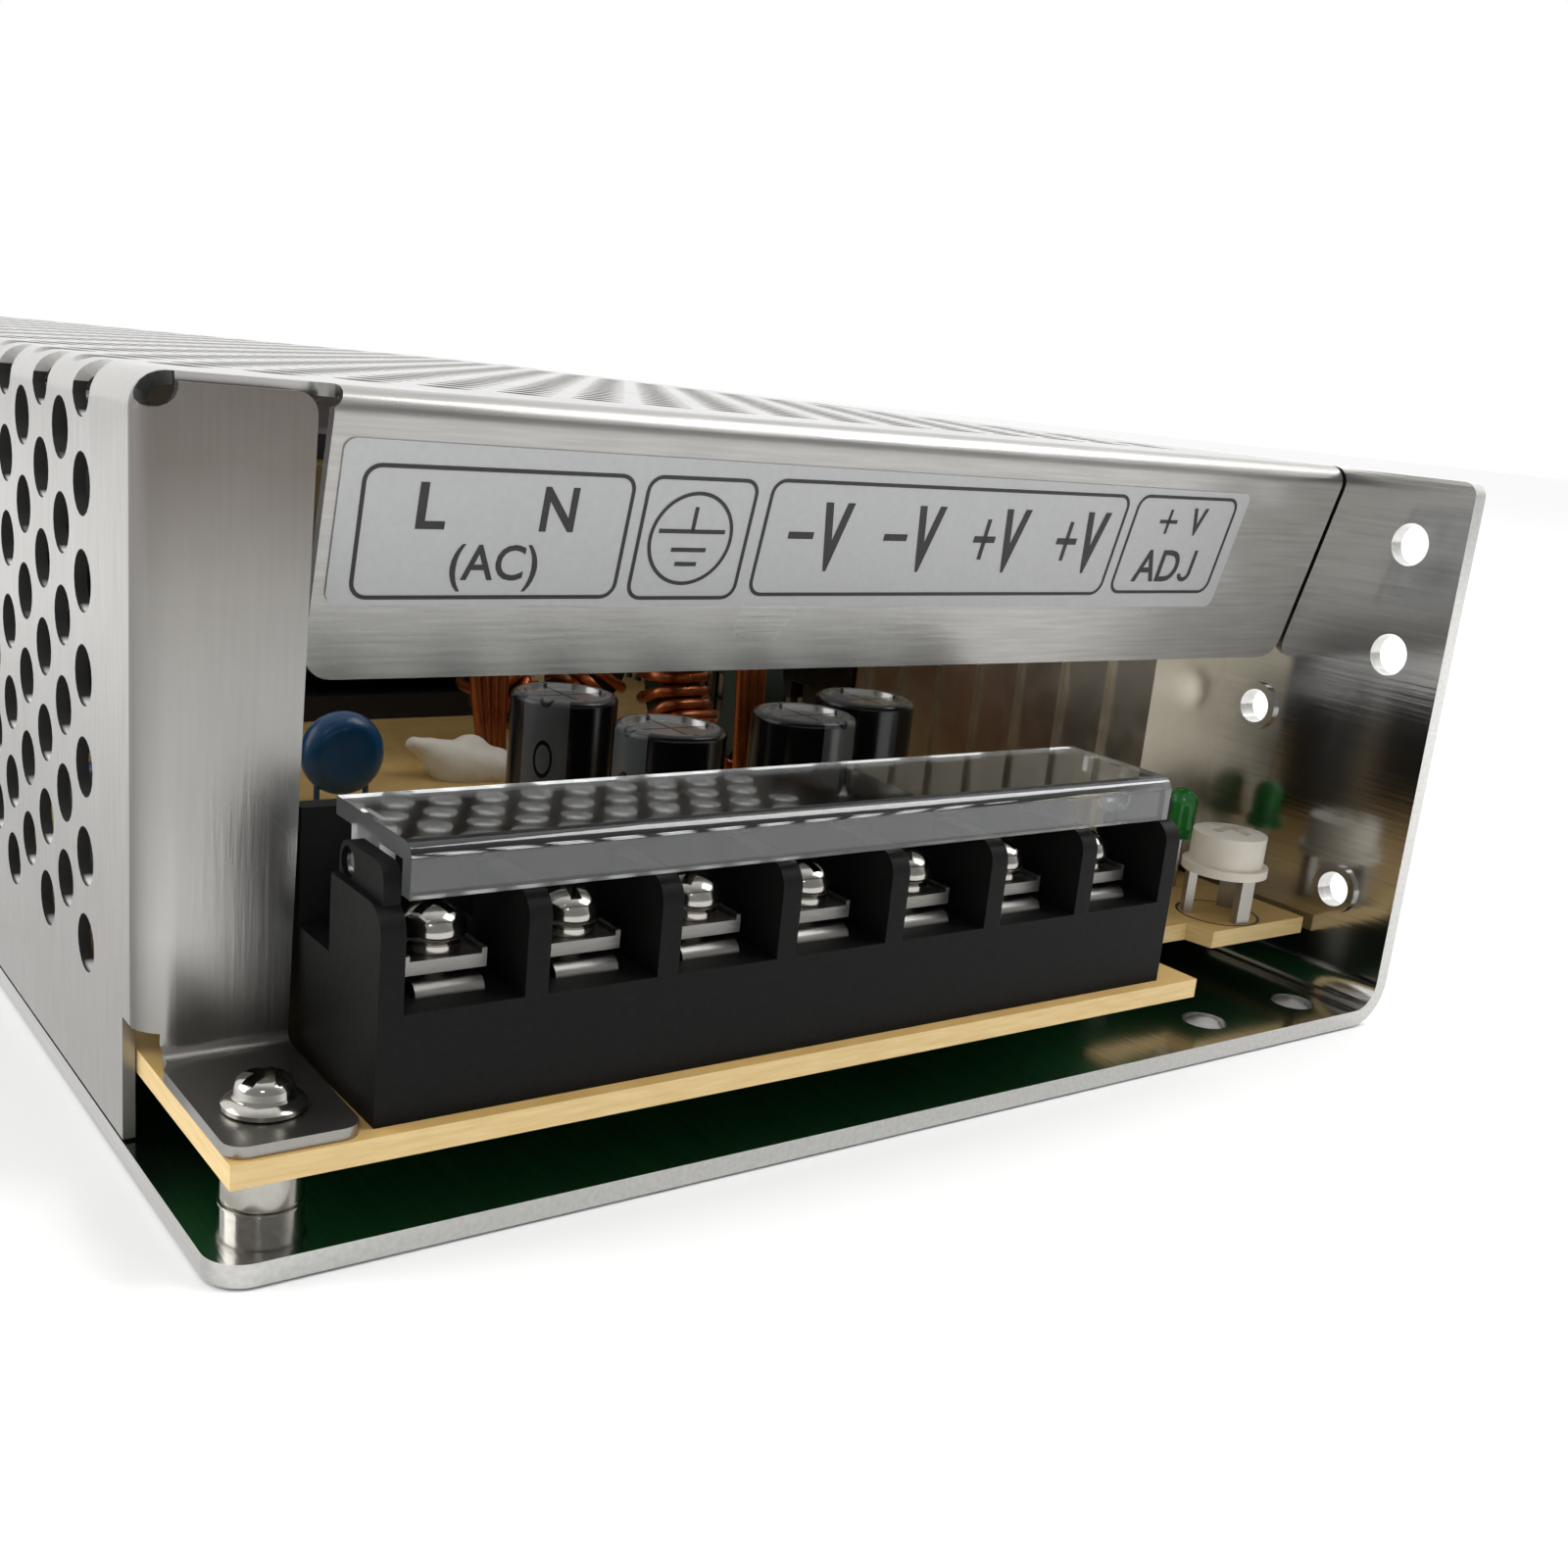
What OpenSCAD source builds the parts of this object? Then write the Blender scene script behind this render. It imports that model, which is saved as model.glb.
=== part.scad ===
// Enclosed switching power supply: a folded aluminium chassis, a perforated steel cover and
// a circuit board whose screw terminals face the open front.
// Pieces are drawn in case coordinates (x from the left side, y from the front edge of the
// chassis, z from the underside), and place() then centres the case on the origin.

/* [Case] */
// Width of the case
case_w = 110; // [106:1:130]
// Length of the case, front to back
case_l = 199; // [194:1:240]
// Height of the case
case_h = 50; // [48:1:60]
// Thickness of the chassis sheet
chassis_t = 1.5; // [1:0.1:2]
// Outside radius of the chassis bend
chassis_bend = 4; // [3:0.5:6]
// Radius of the chassis corners, seen from above
corner_r = 2.5; // [1:0.5:4]
// Thickness of the cover sheet
cover_t = 0.8; // [0.6:0.1:1]
// Outside radius of the cover's bends
cover_bend = 2.2; // [1.8:0.1:2.6]
// Gap between the cover and the chassis
cover_gap = 0.2; // [0.1:0.05:0.4]

/* [Cover front] */
// Distance of the front flange from the front edge
flange_back = 14.2; // [13:0.1:16]
// Width of the front flange
flange_w = 10.3; // [8:0.1:11]
// Height at which the flange leaves the side wall
flange_foot = 12; // [11:0.5:14]
// Width of the foot tab under the flange
tab_w = 7.2; // [6.6:0.1:8]
// Gap between the flange and the lip
lip_gap = 0.7; // [0.4:0.1:1.2]
// Outside radius of the lip's bend
lip_bend = 1.5; // [1.2:0.1:2]
// Length of the lip below its bend
lip_len = 17.2; // [14:0.2:19]
// Backward lean of the lip
lip_lean = 14.5; // [5:0.5:18]
// Thickness of the label on the lip
label_t = 0.15; // [0.1:0.05:0.3]

/* [Perforation] */
// Diameter of a ventilation hole
vent_d = 4; // [2.5:0.1:4.2]
// Distance between columns of holes
vent_column = 5.03; // [4.8:0.01:7]
// Distance between holes of one column
vent_row = 6.02; // [5.8:0.01:8]
// Place of the first column behind the front edge
vent_start = 26.4; // [24:0.1:34]
// Height of the lowest hole
vent_low = 12.3; // [10:0.1:16]
// Number of columns in the perforated field
vent_columns = 18; // [6:1:20]

/* [Circuit board] */
// Height of the spacers under the board
standoff_h = 4.7; // [3:0.1:8]
// Diameter of the spacers
standoff_d = 5; // [4.6:0.1:6]
// Thickness of the board
board_t = 1.6; // [1:0.1:2]
// Gap between the board and the left side of the case
board_edge = 0.9; // [0.9:0.1:2]
// Diameter of a board screw's shank
board_screw_d = 3; // [2.5:0.1:3.2]
// Diameter of a board screw's head
board_screw_head_d = 5; // [4.5:0.1:5.6]

/* [Terminal block] */
// Number of terminals
terminals = 7; // [5:1:7]
// Distance between terminals
terminal_pitch = 9.6; // [9.4:0.05:9.8]
// Thickness of the walls between terminals
terminal_wall = 1.6; // [1.2:0.1:1.8]
// Height of the block's base
block_base_h = 7; // [6.5:0.1:8]
// Height of the walls between terminals
block_wall_h = 13.7; // [13:0.1:15]
// Diameter of a terminal screw's head
screw_head_d = 4.4; // [4:0.1:4.6]
// Diameter of a terminal screw's shank
screw_d = 2.8; // [2.4:0.1:3]
// Play of each screw in its holes, on the diameter
screw_play = 0.3; // [0.2:0.05:0.4]
// Thickness of the clear flap
flap_t = 1.2; // [1:0.1:1.4]
// Diameter of the flap's hinge pins
hinge_d = 1.8; // [1.4:0.1:2]
// Play of the hinge pins, on the diameter
hinge_play = 0.16; // [0.1:0.02:0.2]

/* [Components] */
// Diameter of an output capacitor
output_cap_d = 10; // [8:0.5:10.5]
// Height of an output capacitor
output_cap_h = 15; // [10:0.5:20]
// Diameter of a bulk capacitor
bulk_cap_d = 22; // [16:0.5:23]
// Height of a bulk capacitor
bulk_cap_h = 36; // [25:0.5:38]
// Diameter of the trimmer knob
knob_d = 6.9; // [5:0.1:7.4]
// Height of the trimmer knob
knob_h = 3.4; // [2.5:0.1:5]

/* [Hidden] */
$fn = 48;
// Length that cutting shapes reach past the faces that they cut
past = 1;

// Chassis holes, as [y from an end, z] in the side wall and [x from the right side, y from an end]
// in the floor; each is repeated at the rear end.
side_hole_d = 3.8;
side_holes = [[5.5, 44], [5.5, 34]];
tapped_hole_d = 3.3;
tapped_rim_d = 4.7;
tapped_rim_h = 0.4;
tapped_holes = [[18.9, 26.4], [6.3, 11.3]];
floor_hole_d = 4;
floor_holes = [[8, 4.2], [20.5, 4.2]];

// Cover
wall_inner_x = case_w - chassis_t;
cover_right = wall_inner_x - cover_gap;
cover_floor = chassis_t + cover_gap;
top_under = case_h - cover_t;
flange_top = top_under - cover_gap;
flange_inner = flange_back + cover_t;
// The flange narrows by this much towards its foot
flange_taper = 0.9;
notch_r = 1.3;
lip_x0 = flange_w + lip_gap;
lip_x1 = cover_right - 0.1;
lip_corner = 2;
lip_tongue = 0.3;
lip_centre_y = flange_back + 0.8;
lip_centre_z = case_h - lip_bend;
lip_turn = 90 + lip_lean;
lip_face_y = lip_centre_y + lip_bend * cos(90 + lip_turn);
lip_face_z = lip_centre_z + lip_bend * sin(90 + lip_turn);
tab_inner_r = 0.8;
tab_corner = 1.3;
tab_x0 = 1;
tab_front = 0.6;
screw_tab_w = 14;
screw_tab_drop = 12;
screw_tab_ys = [88, case_l - 24];
screw_tab_z = case_h - 7;
case_screw_d = 3;
case_screw_head_d = 5.4;
case_screw_len = 5;
case_screw_play = 0.3;
// Diameter of a hole that runs over the bend between side wall and top
bend_vent_d = vent_d * 1.2;
vent_rows = floor((case_h - 7 - vent_low) / vent_row);
// Coarser openings in the top, the rear wall and the rear of the side wall: counts, and the open part of a step
top_openings = [8, 12];
side_openings = [6, 3];
rear_openings = [8, 3];
open_part = 0.64;
field_margin = 9.6;
label_w = 84;
label_h = 10.8;
label_drop = 1.1;
label_inset = 0.8;
label_corner = 0.8;

// Circuit board
board_z = chassis_t + standoff_h;
board_top = board_z + board_t;
board_front = 0.3;
board_back = case_l - 4;
board_right = case_w - 2.3;
board_points = [
    [board_edge, board_front], [82.4, board_front], [82.4, 11.4], [board_right - 13.7, 11.4],
    [board_right - 13.2, 8.6], [board_right, 8.6], [board_right, board_back], [board_edge, board_back]
];
foot_x = tab_x0 + tab_w / 2;
foot_y = 5.3;
standoffs = [[foot_x, foot_y], [90, 18.5], [5.5, case_l - 9], [case_w - 11, case_l - 9]];
board_screw_len = board_t + standoff_h - 0.6;
board_screw_play = 0.2;
board_head_h = 2;

// Terminal block
block_x = 9.8;
block_y = 1.4;
block_d = 14.2;
block_w = terminals * terminal_pitch + terminal_wall;
block_back = block_y + block_d;
pocket_w = terminal_pitch - terminal_wall;
pocket_floor = board_top + block_base_h;
divider_top = board_top + block_wall_h;
divider_back = 9;
divider_low = pocket_floor + 1.6;
rear_wall = 1.6;
rear_wall_h = 16.4;
ear_front = 2.4;
ear_inset = 0.5;
hinge_y = 7.7;
hinge_z = divider_top + 1;
ear_top = hinge_z + 1.3;
ear_round = 1.2;
divider_round = 1.8;
screw_y = 6.6;
contact_t = 0.8;
contact_front = 3.5;
contact_back = 12.2;
contact_w = 4.6;
contact_pin_w = 1.2;
contact_pin_play = 0.1;
clamp_gap = 0.4;
clamp_t = 0.9;
clamp_w = 5.5;
clamp_l = 4.6;
clamp_curl = 0.35;
washer_h = 0.6;
washer_d = screw_head_d - 0.7;
head_h = 2.3;
recess_w = 0.8;
recess_depth = 1.1;
screw_len = 6;
clamp_z = pocket_floor + contact_t + clamp_gap;
head_z = clamp_z + clamp_t;
// The flap swings between the ears, its top just above them
flap_gap = 0.2;
flap_x0 = block_x + terminal_wall + flap_gap;
flap_w = block_w - 2 * terminal_wall - 2 * flap_gap;
flap_front = 1.6;
flap_back = 12.9;
flap_under = ear_top + flap_gap;
flap_top = flap_under + flap_t;
flap_lip_low = divider_top + 0.3;
flap_round = 1.1;
lug_t = 1.1;
lug_d = hinge_d + 1;
lug_back = 10.4;
hinge_len = flap_gap + 0.8;

// Trimmer and lamp, placed from the right side of the case
trimmer_x = case_w - 10.4;
trimmer_y = 12.6;
trimmer_leg_h = 4.3;
trimmer_flange_d = 8;
trimmer_flange_t = 0.8;
trimmer_pin_d = 2.4;
trimmer_pin_play = 0.2;
lamp_x = case_w - 8.2;
lamp_y = 20.6;
lamp_d = 3;
lamp_rim_d = 3.8;
lamp_leg_h = 5.4;
lamp_h = 4.8;
lead_d = 0.6;

// Component places on the board
output_caps = [[49, 51], [51.5, 36.5], [68, 39], [79.8, 44.5]];
bulk_caps = [[17, 112], [17, 137]];
sink_y = 23.4;
sink_l = 45;
sink_z = board_top + 1;
sink_h = 33;
sink_base = 10.4;
sink_rib = 0.6;
sink_rib_t = 1.3;
sink_rib_step = 6.2;
sink_rib_start = 5.6;
filter_x = 76.5;
filter_y = 67;
filter_r = 8;
filter_wire = 3;
choke_x = 67;
choke_y = 88;
choke_r = 8;
choke_wire = 3;
transformer_x = 60;
transformer_y = 122;
transformer_l = 34;
transformer_d = 32;
transformer_h = 33;
transistor_ys = [104, 124, 144];
rectifier_ys = [76, 88.5];
package_w = 10;
package_t = 4.6;
package_h = 15.5;
package_legs = 6;
package_tab_t = 1.3;
package_hole_d = 3.6;
leg_w = 0.8;
leg_t = 0.5;
leg_pitch = 2.54;
clamp_bar_t = 1.2;
clamp_bar_h = 5;
bar_margin = 6;
varistor_place = [35.2, 69.7];
varistor_d = 8.4;
varistor_t = 3.6;
thermistor_place = [28, 36];
thermistor_d = 8;
thermistor_t = 4;
safety_cap_places = [[12, 56], [12, 63]];
safety_cap_d = 7;
safety_cap_t = 3.4;
disc_lift = 1.2;
glue_place = [52, 78];
glue_r = 3.6;
ring_t = 4;
choke_ring_h = 6;
filter_ring_h = 5;
transformer_leg = 12;
transformer_foot = 3;
transformer_limb = 6;
bridge_place = [8, 84];
bridge_size = [22, 4.5, 14];
bridge_leg_h = 3;
bridge_leg_pitch = 5.4;
line_cap_place = [4.5, 24];
line_cap_size = [12, 26, 10];
line_cap_round = 0.8;
fuse_place = [23, 25];
fuse_d = 5;
fuse_l = 20;
fuse_cap_l = 5;
fuse_cap_t = 0.2;
fuse_lift = 3.4;
clip_play = 0.2;
clip_w = 7.2;
clip_l = 3.8;
clip_h = 5;
chip_w = 6.4;
chip_h = 3.4;
chip_lift = 0.5;
chip_place = [60, case_l - 36];
chip_l = 20;
optocoupler_place = [84, case_l - 49];
optocoupler_l = 5;
drive_place = [36, case_l - 27];
drive_core = [16, 14, 12];
drive_coil = [19, 8, 12];
drive_coil_lift = 2;
resistor_place = [50, case_l - 21];
resistor_step = 6;
resistor_d = 3.2;
resistor_l = 9;

module place() {
    translate([-case_w / 2, -case_l / 2, 0]) children();
}

// Extrudes a profile drawn in x and z along y
module along_y(length) {
    translate([0, length, 0]) rotate([90, 0, 0]) linear_extrude(length) children();
}

// Extrudes a profile drawn in y and z along x
module along_x(length) {
    rotate([90, 0, 90]) linear_extrude(length) children();
}

// Quarter of a flat ring in the first quadrant
module quarter_ring(r, t) {
    intersection() {
        difference() {
            circle(r);
            circle(r - t);
        }
        square(r + past);
    }
}

module rounded(w, h, r) {
    translate([r, 0]) square([w - 2 * r, h]);
    translate([0, r]) square([w, h - 2 * r]);
    for (x = [r, w - r], y = [r, h - r]) translate([x, y]) circle(r);
}

// Flat shape that takes a square corner at the origin down to a round one
module corner_cut(r) {
    difference() {
        translate([-past, -past]) square(r + past);
        translate([r, r]) circle(r);
    }
}

module chassis_profile() {
    square([case_w - chassis_bend, chassis_t]);
    translate([case_w - chassis_t, chassis_bend]) square([chassis_t, case_h - chassis_bend]);
    translate([case_w - chassis_bend, chassis_bend]) rotate(-90) quarter_ring(chassis_bend, chassis_t);
}

// Both ends of the case, as the y of a place that lies a given distance inside
function both_ends(inside) = [inside, case_l - inside];

module chassis() {
    color("silver") place() difference() {
        union() {
            along_y(case_l) chassis_profile();
            for (hole = tapped_holes, y = both_ends(hole[0]))
                translate([wall_inner_x - tapped_rim_h, y, hole[1]]) rotate([0, 90, 0])
                    cylinder(d = tapped_rim_d, h = tapped_rim_h + chassis_t / 2);
        }
        translate([0, 0, -past]) linear_extrude(chassis_t + 2 * past) {
            corner_cut(corner_r);
            translate([0, case_l]) mirror([0, 1]) corner_cut(corner_r);
        }
        translate([wall_inner_x - past, 0, 0]) along_x(chassis_t + 2 * past) {
            translate([0, case_h]) mirror([0, 1]) corner_cut(corner_r / 2);
            translate([case_l, case_h]) mirror([1, 1]) corner_cut(corner_r / 2);
        }
        for (hole = side_holes, y = both_ends(hole[0])) side_bore(y, hole[1], side_hole_d);
        for (hole = tapped_holes, y = both_ends(hole[0])) side_bore(y, hole[1], tapped_hole_d);
        for (hole = floor_holes, y = both_ends(hole[1]))
            translate([case_w - hole[0], y, -past]) cylinder(d = floor_hole_d, h = chassis_t + 2 * past);
        for (y = screw_tab_ys) case_screw(y, case_screw_play);
    }
}

module side_bore(y, z, d) {
    translate([wall_inner_x - past, y, z]) rotate([0, 90, 0]) cylinder(d = d, h = chassis_t + 2 * past);
}

// Countersunk screw that lies flush in the side wall; play widens it into its own hole
module case_screw(y, play) {
    translate([case_w, y, screw_tab_z]) rotate([0, -90, 0]) {
        cylinder(d = case_screw_d + play, h = case_screw_len);
        cylinder(d1 = case_screw_head_d + play, d2 = case_screw_d + play, h = chassis_t);
    }
}

module cover_screws() {
    color("gainsboro") place() for (y = screw_tab_ys) case_screw(y, 0);
}

// The perforated field of the side wall, in y and z; every second column sits half a step higher
module vent_field() {
    for (column = [0 : vent_columns - 1], row = [0 : vent_rows])
        translate([
            vent_start + column * vent_column,
            vent_low + row * vent_row + (column % 2) * vent_row / 2
        ]) circle(d = vent_d);
}

// Plain openings in rows and columns over a field
module open_field(corner, far_corner, counts) {
    step = [(far_corner[0] - corner[0]) / counts[0], (far_corner[1] - corner[1]) / counts[1]];
    for (i = [0 : counts[0] - 1], j = [0 : counts[1] - 1])
        translate([corner[0] + (i + 0.5) * step[0], corner[1] + (j + 0.5) * step[1]])
            square(open_part * step, center = true);
}

module side_wall() {
    wall_front = flange_back + cover_bend;
    field_start = vent_start + (vent_columns - 0.3) * vent_column;
    along_x(cover_t) difference() {
        translate([wall_front, cover_floor])
            square([case_l - wall_front, case_h - cover_bend - cover_floor]);
        translate([case_l, case_h - cover_bend]) circle(notch_r);
        vent_field();
        open_field([field_start, vent_low - vent_d / 2], [case_l - field_margin, case_h - 4], side_openings);
    }
}

module top_plate() {
    translate([0, 0, top_under]) linear_extrude(cover_t) difference() {
        translate([cover_bend, flange_back])
            square([cover_right - cover_bend, case_l - cover_bend - flange_back]);
        translate([lip_x0 - lip_gap / 2, flange_back - past])
            square([case_w, lip_centre_y - flange_back + past]);
        translate([cover_bend, flange_back]) circle(notch_r);
        open_field(
            [2 * cover_bend, vent_start - vent_d / 2], [cover_right - 7, case_l - field_margin], top_openings
        );
    }
}

// Rear wall, folded down from the top, its left edge just inside the side wall
module rear_wall_sheet() {
    wall_x = cover_t + cover_gap;
    translate([0, case_l - cover_t, 0]) along_y(cover_t) difference() {
        translate([wall_x, cover_floor]) square([cover_right - wall_x, case_h - cover_bend - cover_floor]);
        translate([wall_x, case_h - cover_bend]) circle(notch_r);
        open_field([field_margin, vent_low], [cover_right - 7, case_h - 8], rear_openings);
    }
    translate([cover_bend, 0, 0]) along_x(cover_right - cover_bend)
        translate([case_l - cover_bend, case_h - cover_bend]) quarter_ring(cover_bend, cover_t);
}

module side_bend() {
    start = flange_back + cover_bend;
    translate([0, start, 0]) along_y(case_l - cover_bend - start)
        translate([cover_bend, case_h - cover_bend]) rotate(90) quarter_ring(cover_bend, cover_t);
}

module front_flange() {
    bend_top = case_h - cover_bend - notch_r;
    translate([cover_bend, flange_back + cover_bend, flange_foot]) linear_extrude(bend_top - flange_foot)
        rotate(180) quarter_ring(cover_bend, cover_t);
    translate([0, flange_back, 0]) along_y(cover_t) difference() {
        polygon([
            [cover_bend, flange_foot], [cover_bend, flange_top], [flange_w, flange_top],
            [flange_w - flange_taper, flange_foot]
        ]);
        translate([cover_bend, flange_top]) circle(notch_r);
        translate([flange_w, flange_top]) mirror([1, 1]) corner_cut(notch_r);
    }
    foot_tab();
}

// Strip below the flange that bends forward and lies on the board
module foot_tab() {
    strip_z = board_top + cover_t + tab_inner_r;
    strip_x0 = cover_bend;
    translate([strip_x0, flange_back, strip_z])
        cube([tab_x0 + tab_w - strip_x0, cover_t, flange_foot - strip_z]);
    translate([strip_x0, 0, 0]) along_x(tab_x0 + tab_w - strip_x0)
        translate([flange_back - tab_inner_r, strip_z])
            rotate(-90) quarter_ring(tab_inner_r + cover_t, cover_t);
    translate([tab_x0, tab_front, board_top]) linear_extrude(cover_t) difference() {
        union() {
            rounded(tab_w, flange_back - tab_inner_r - tab_front - 1, tab_corner);
            translate([strip_x0 - tab_x0, tab_corner]) square([
                tab_w - strip_x0 + tab_x0, flange_back - tab_inner_r - tab_front - tab_corner
            ]);
        }
        translate([foot_x - tab_x0, foot_y - tab_front]) circle(d = board_screw_d + board_screw_play);
    }
}

// Frame of the leaning lip: x along the case, y up its face, z out of its face
module on_lip() {
    translate([0, lip_face_y, lip_face_z]) rotate([lip_turn, 0, 0]) children();
}

module front_lip() {
    width = lip_x1 - lip_x0;
    reach = 2 * lip_bend;
    translate([lip_x0, 0, 0]) along_x(width) translate([lip_centre_y, lip_centre_z]) intersection() {
        difference() {
            circle(lip_bend);
            circle(lip_bend - cover_t);
        }
        polygon([
            [0, 0],
            for (part = [0 : 3]) reach * [cos(90 + part * lip_turn / 3), sin(90 + part * lip_turn / 3)]
        ]);
    }
    // A tongue inside the sheet joins the flat part to its bend
    on_lip() translate([lip_x0, -past, -cover_t + lip_tongue / 6])
        cube([width, past + lip_tongue, cover_t - lip_tongue / 3]);
    on_lip() translate([lip_x0, -lip_len, -cover_t]) linear_extrude(cover_t) difference() {
        square([width, lip_len]);
        corner_cut(lip_corner);
        translate([width, 0]) mirror([1, 0]) corner_cut(lip_corner);
    }
}

// Short tab inside the right wall that takes a case screw
module screw_tab(y) {
    translate([0, y - screw_tab_w / 2, 0]) along_y(screw_tab_w)
        translate([cover_right - cover_bend, case_h - cover_bend]) quarter_ring(cover_bend, cover_t);
    translate([cover_right - cover_t, y - screw_tab_w / 2, case_h - screw_tab_drop])
        cube([cover_t, screw_tab_w, screw_tab_drop - cover_bend]);
}

module cover() {
    color("lightgray") place() difference() {
        union() {
            side_wall();
            side_bend();
            difference() {
                top_plate();
                translate([cover_right - cover_bend, 0, top_under - past])
                    cube([cover_bend + past, case_l, cover_t + 2 * past]);
            }
            right_edge();
            rear_wall_sheet();
            front_flange();
            front_lip();
            for (y = screw_tab_ys) screw_tab(y);
        }
        for (column = [0 : 2 : vent_columns - 1])
            translate([cover_bend / 3, vent_start + column * vent_column, case_h - cover_bend / 3])
                rotate([0, -45, 0]) cylinder(d = bend_vent_d, h = 4 * cover_bend, center = true);
        for (y = screw_tab_ys) case_screw(y, case_screw_play);
        // Relief hole where the flange and the lip part
        translate([lip_x0 - lip_gap / 2, flange_back - past, flange_top - lip_gap / 2]) rotate([-90, 0, 0])
            cylinder(r = notch_r, h = 2 * cover_bend);
    }
}

// Strip of the top beside the right wall, left open where a screw tab bends down
module right_edge() {
    x0 = cover_right - cover_bend;
    starts = [lip_centre_y, for (y = screw_tab_ys) y + screw_tab_w / 2];
    ends = [for (y = screw_tab_ys) y - screw_tab_w / 2, case_l - cover_bend];
    for (part = [0 : len(starts) - 1])
        translate([x0, starts[part], top_under]) cube([cover_bend, ends[part] - starts[part], cover_t]);
}

module terminal_label() {
    color("whitesmoke") place() on_lip()
        translate([lip_x0 + label_inset, -label_drop - label_h, 0]) linear_extrude(label_t)
            rounded(label_w, label_h, label_corner);
}

module circuit_board() {
    color("burlywood") place() translate([0, 0, board_z]) difference() {
        linear_extrude(board_t) polygon(board_points);
        for (spot = standoffs) translate([spot[0], spot[1], -past])
            cylinder(d = board_screw_d + board_screw_play, h = board_t + 2 * past);
    }
}

module board_standoffs() {
    color("silver") place() for (spot = standoffs) translate([spot[0], spot[1], chassis_t]) difference() {
        cylinder(d = standoff_d, h = standoff_h);
        translate([0, 0, -past]) cylinder(d = board_screw_d + board_screw_play, h = standoff_h + 2 * past);
    }
}

// Pan head screw with a cross recess, standing on z = 0
module pan_screw(head_d, head_h, shank_d, shank_len, slot_w, slot_depth) {
    difference() {
        intersection() {
            cylinder(d = head_d, h = head_h);
            translate([0, 0, head_h - 0.9 * head_d]) sphere(0.9 * head_d);
        }
        translate([0, 0, head_h - slot_depth]) linear_extrude(slot_depth + past) {
            square([0.6 * head_d, slot_w], center = true);
            square([slot_w, 0.6 * head_d], center = true);
        }
    }
    translate([0, 0, -shank_len]) cylinder(d = shank_d, h = shank_len);
}

module board_screws() {
    color("gainsboro") place() for (index = [0 : len(standoffs) - 1]) {
        seat = board_top + (index == 0 ? cover_t : 0);
        translate([standoffs[index][0], standoffs[index][1], seat])
            pan_screw(
                board_screw_head_d, board_head_h, board_screw_d,
                board_screw_len + seat - board_top, recess_w, 1
            );
    }
}

// Left side of a terminal's pocket, and its middle
function pocket_x(index) = block_x + terminal_wall + index * terminal_pitch;
function terminal_x(index) = pocket_x(index) + pocket_w / 2;

// Side view of a wall between terminals, in y and z
module divider_profile() {
    difference() {
        translate([block_y, board_top]) square([divider_back - block_y, block_wall_h]);
        translate([block_y, divider_top]) mirror([0, 1]) corner_cut(divider_round);
    }
    translate([divider_back - past, board_top]) square([block_back - divider_back, divider_low - board_top]);
}

// Ear that carries one end of the flap, in y and z
module ear_profile() {
    difference() {
        translate([ear_front, divider_top - past])
            square([divider_back - ear_front, ear_top - divider_top + past]);
        translate([ear_front, ear_top]) mirror([0, 1]) corner_cut(ear_round);
        translate([divider_back, ear_top]) mirror([1, 1]) corner_cut(ear_round);
    }
}

module terminal_block() {
    color("dimgray") place() difference() {
        union() {
            translate([block_x, block_y, board_top]) cube([block_w, block_d, block_base_h]);
            translate([block_x, block_back - rear_wall, board_top]) cube([block_w, rear_wall, rear_wall_h]);
            for (index = [0 : terminals])
                translate([block_x + index * terminal_pitch, 0, 0]) along_x(terminal_wall) divider_profile();
            for (x = [block_x + ear_inset, block_x + block_w - terminal_wall])
                translate([x, 0, 0]) along_x(terminal_wall - ear_inset) ear_profile();
        }
        for (index = [0 : terminals - 1]) translate([terminal_x(index), 0, 0]) {
            translate([0, screw_y, board_top + past]) cylinder(d = screw_d + screw_play, h = block_base_h);
            translate([
                -contact_pin_w / 2 - contact_pin_play,
                contact_back - contact_t - contact_pin_play,
                board_top - past
            ]) cube([
                contact_pin_w + 2 * contact_pin_play,
                contact_t + 2 * contact_pin_play,
                block_base_h + 2 * past
            ]);
        }
        translate([block_x - past, hinge_y, hinge_z]) rotate([0, 90, 0])
            cylinder(d = hinge_d + hinge_play, h = block_w + 2 * past);
    }
}

// Tinned tongue with a rounded front, and the pin that is soldered into the board
module terminal_contacts() {
    color("silver") place() for (index = [0 : terminals - 1])
        translate([terminal_x(index), 0, pocket_floor]) terminal_contact();
}

module terminal_contact() {
    union() {
        difference() {
            union() {
                translate([-contact_w / 2, contact_front + contact_t, 0])
                    cube([contact_w, contact_back - contact_front - contact_t, contact_t]);
                translate([-contact_w / 2, contact_front + contact_t, 0]) rotate([90, 0, 90])
                    linear_extrude(contact_w) rotate(90) intersection() {
                        circle(contact_t);
                        square(contact_t);
                    }
            }
            translate([0, screw_y, -past]) cylinder(d = screw_d + screw_play, h = contact_t + 2 * past);
        }
        translate([-contact_pin_w / 2, contact_back - contact_t, -block_base_h])
            cube([contact_pin_w, contact_t, block_base_h]);
    }
}

// Square wire clamp with turned-up edges on both sides of the screw
module clamp_plate(index) {
    color("gainsboro") place() translate([terminal_x(index), screw_y, clamp_z]) difference() {
        union() {
            translate([-clamp_w / 2, -clamp_l / 2, 0]) cube([clamp_w, clamp_l, clamp_t]);
            for (side = [-1, 1]) translate([side * (clamp_w - clamp_curl) / 2, 0, clamp_t])
                cube([clamp_curl, clamp_l, 2 * clamp_curl], center = true);
        }
        translate([0, 0, -past]) cylinder(d = screw_d + screw_play, h = clamp_t + 2 * past);
    }
}

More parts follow.
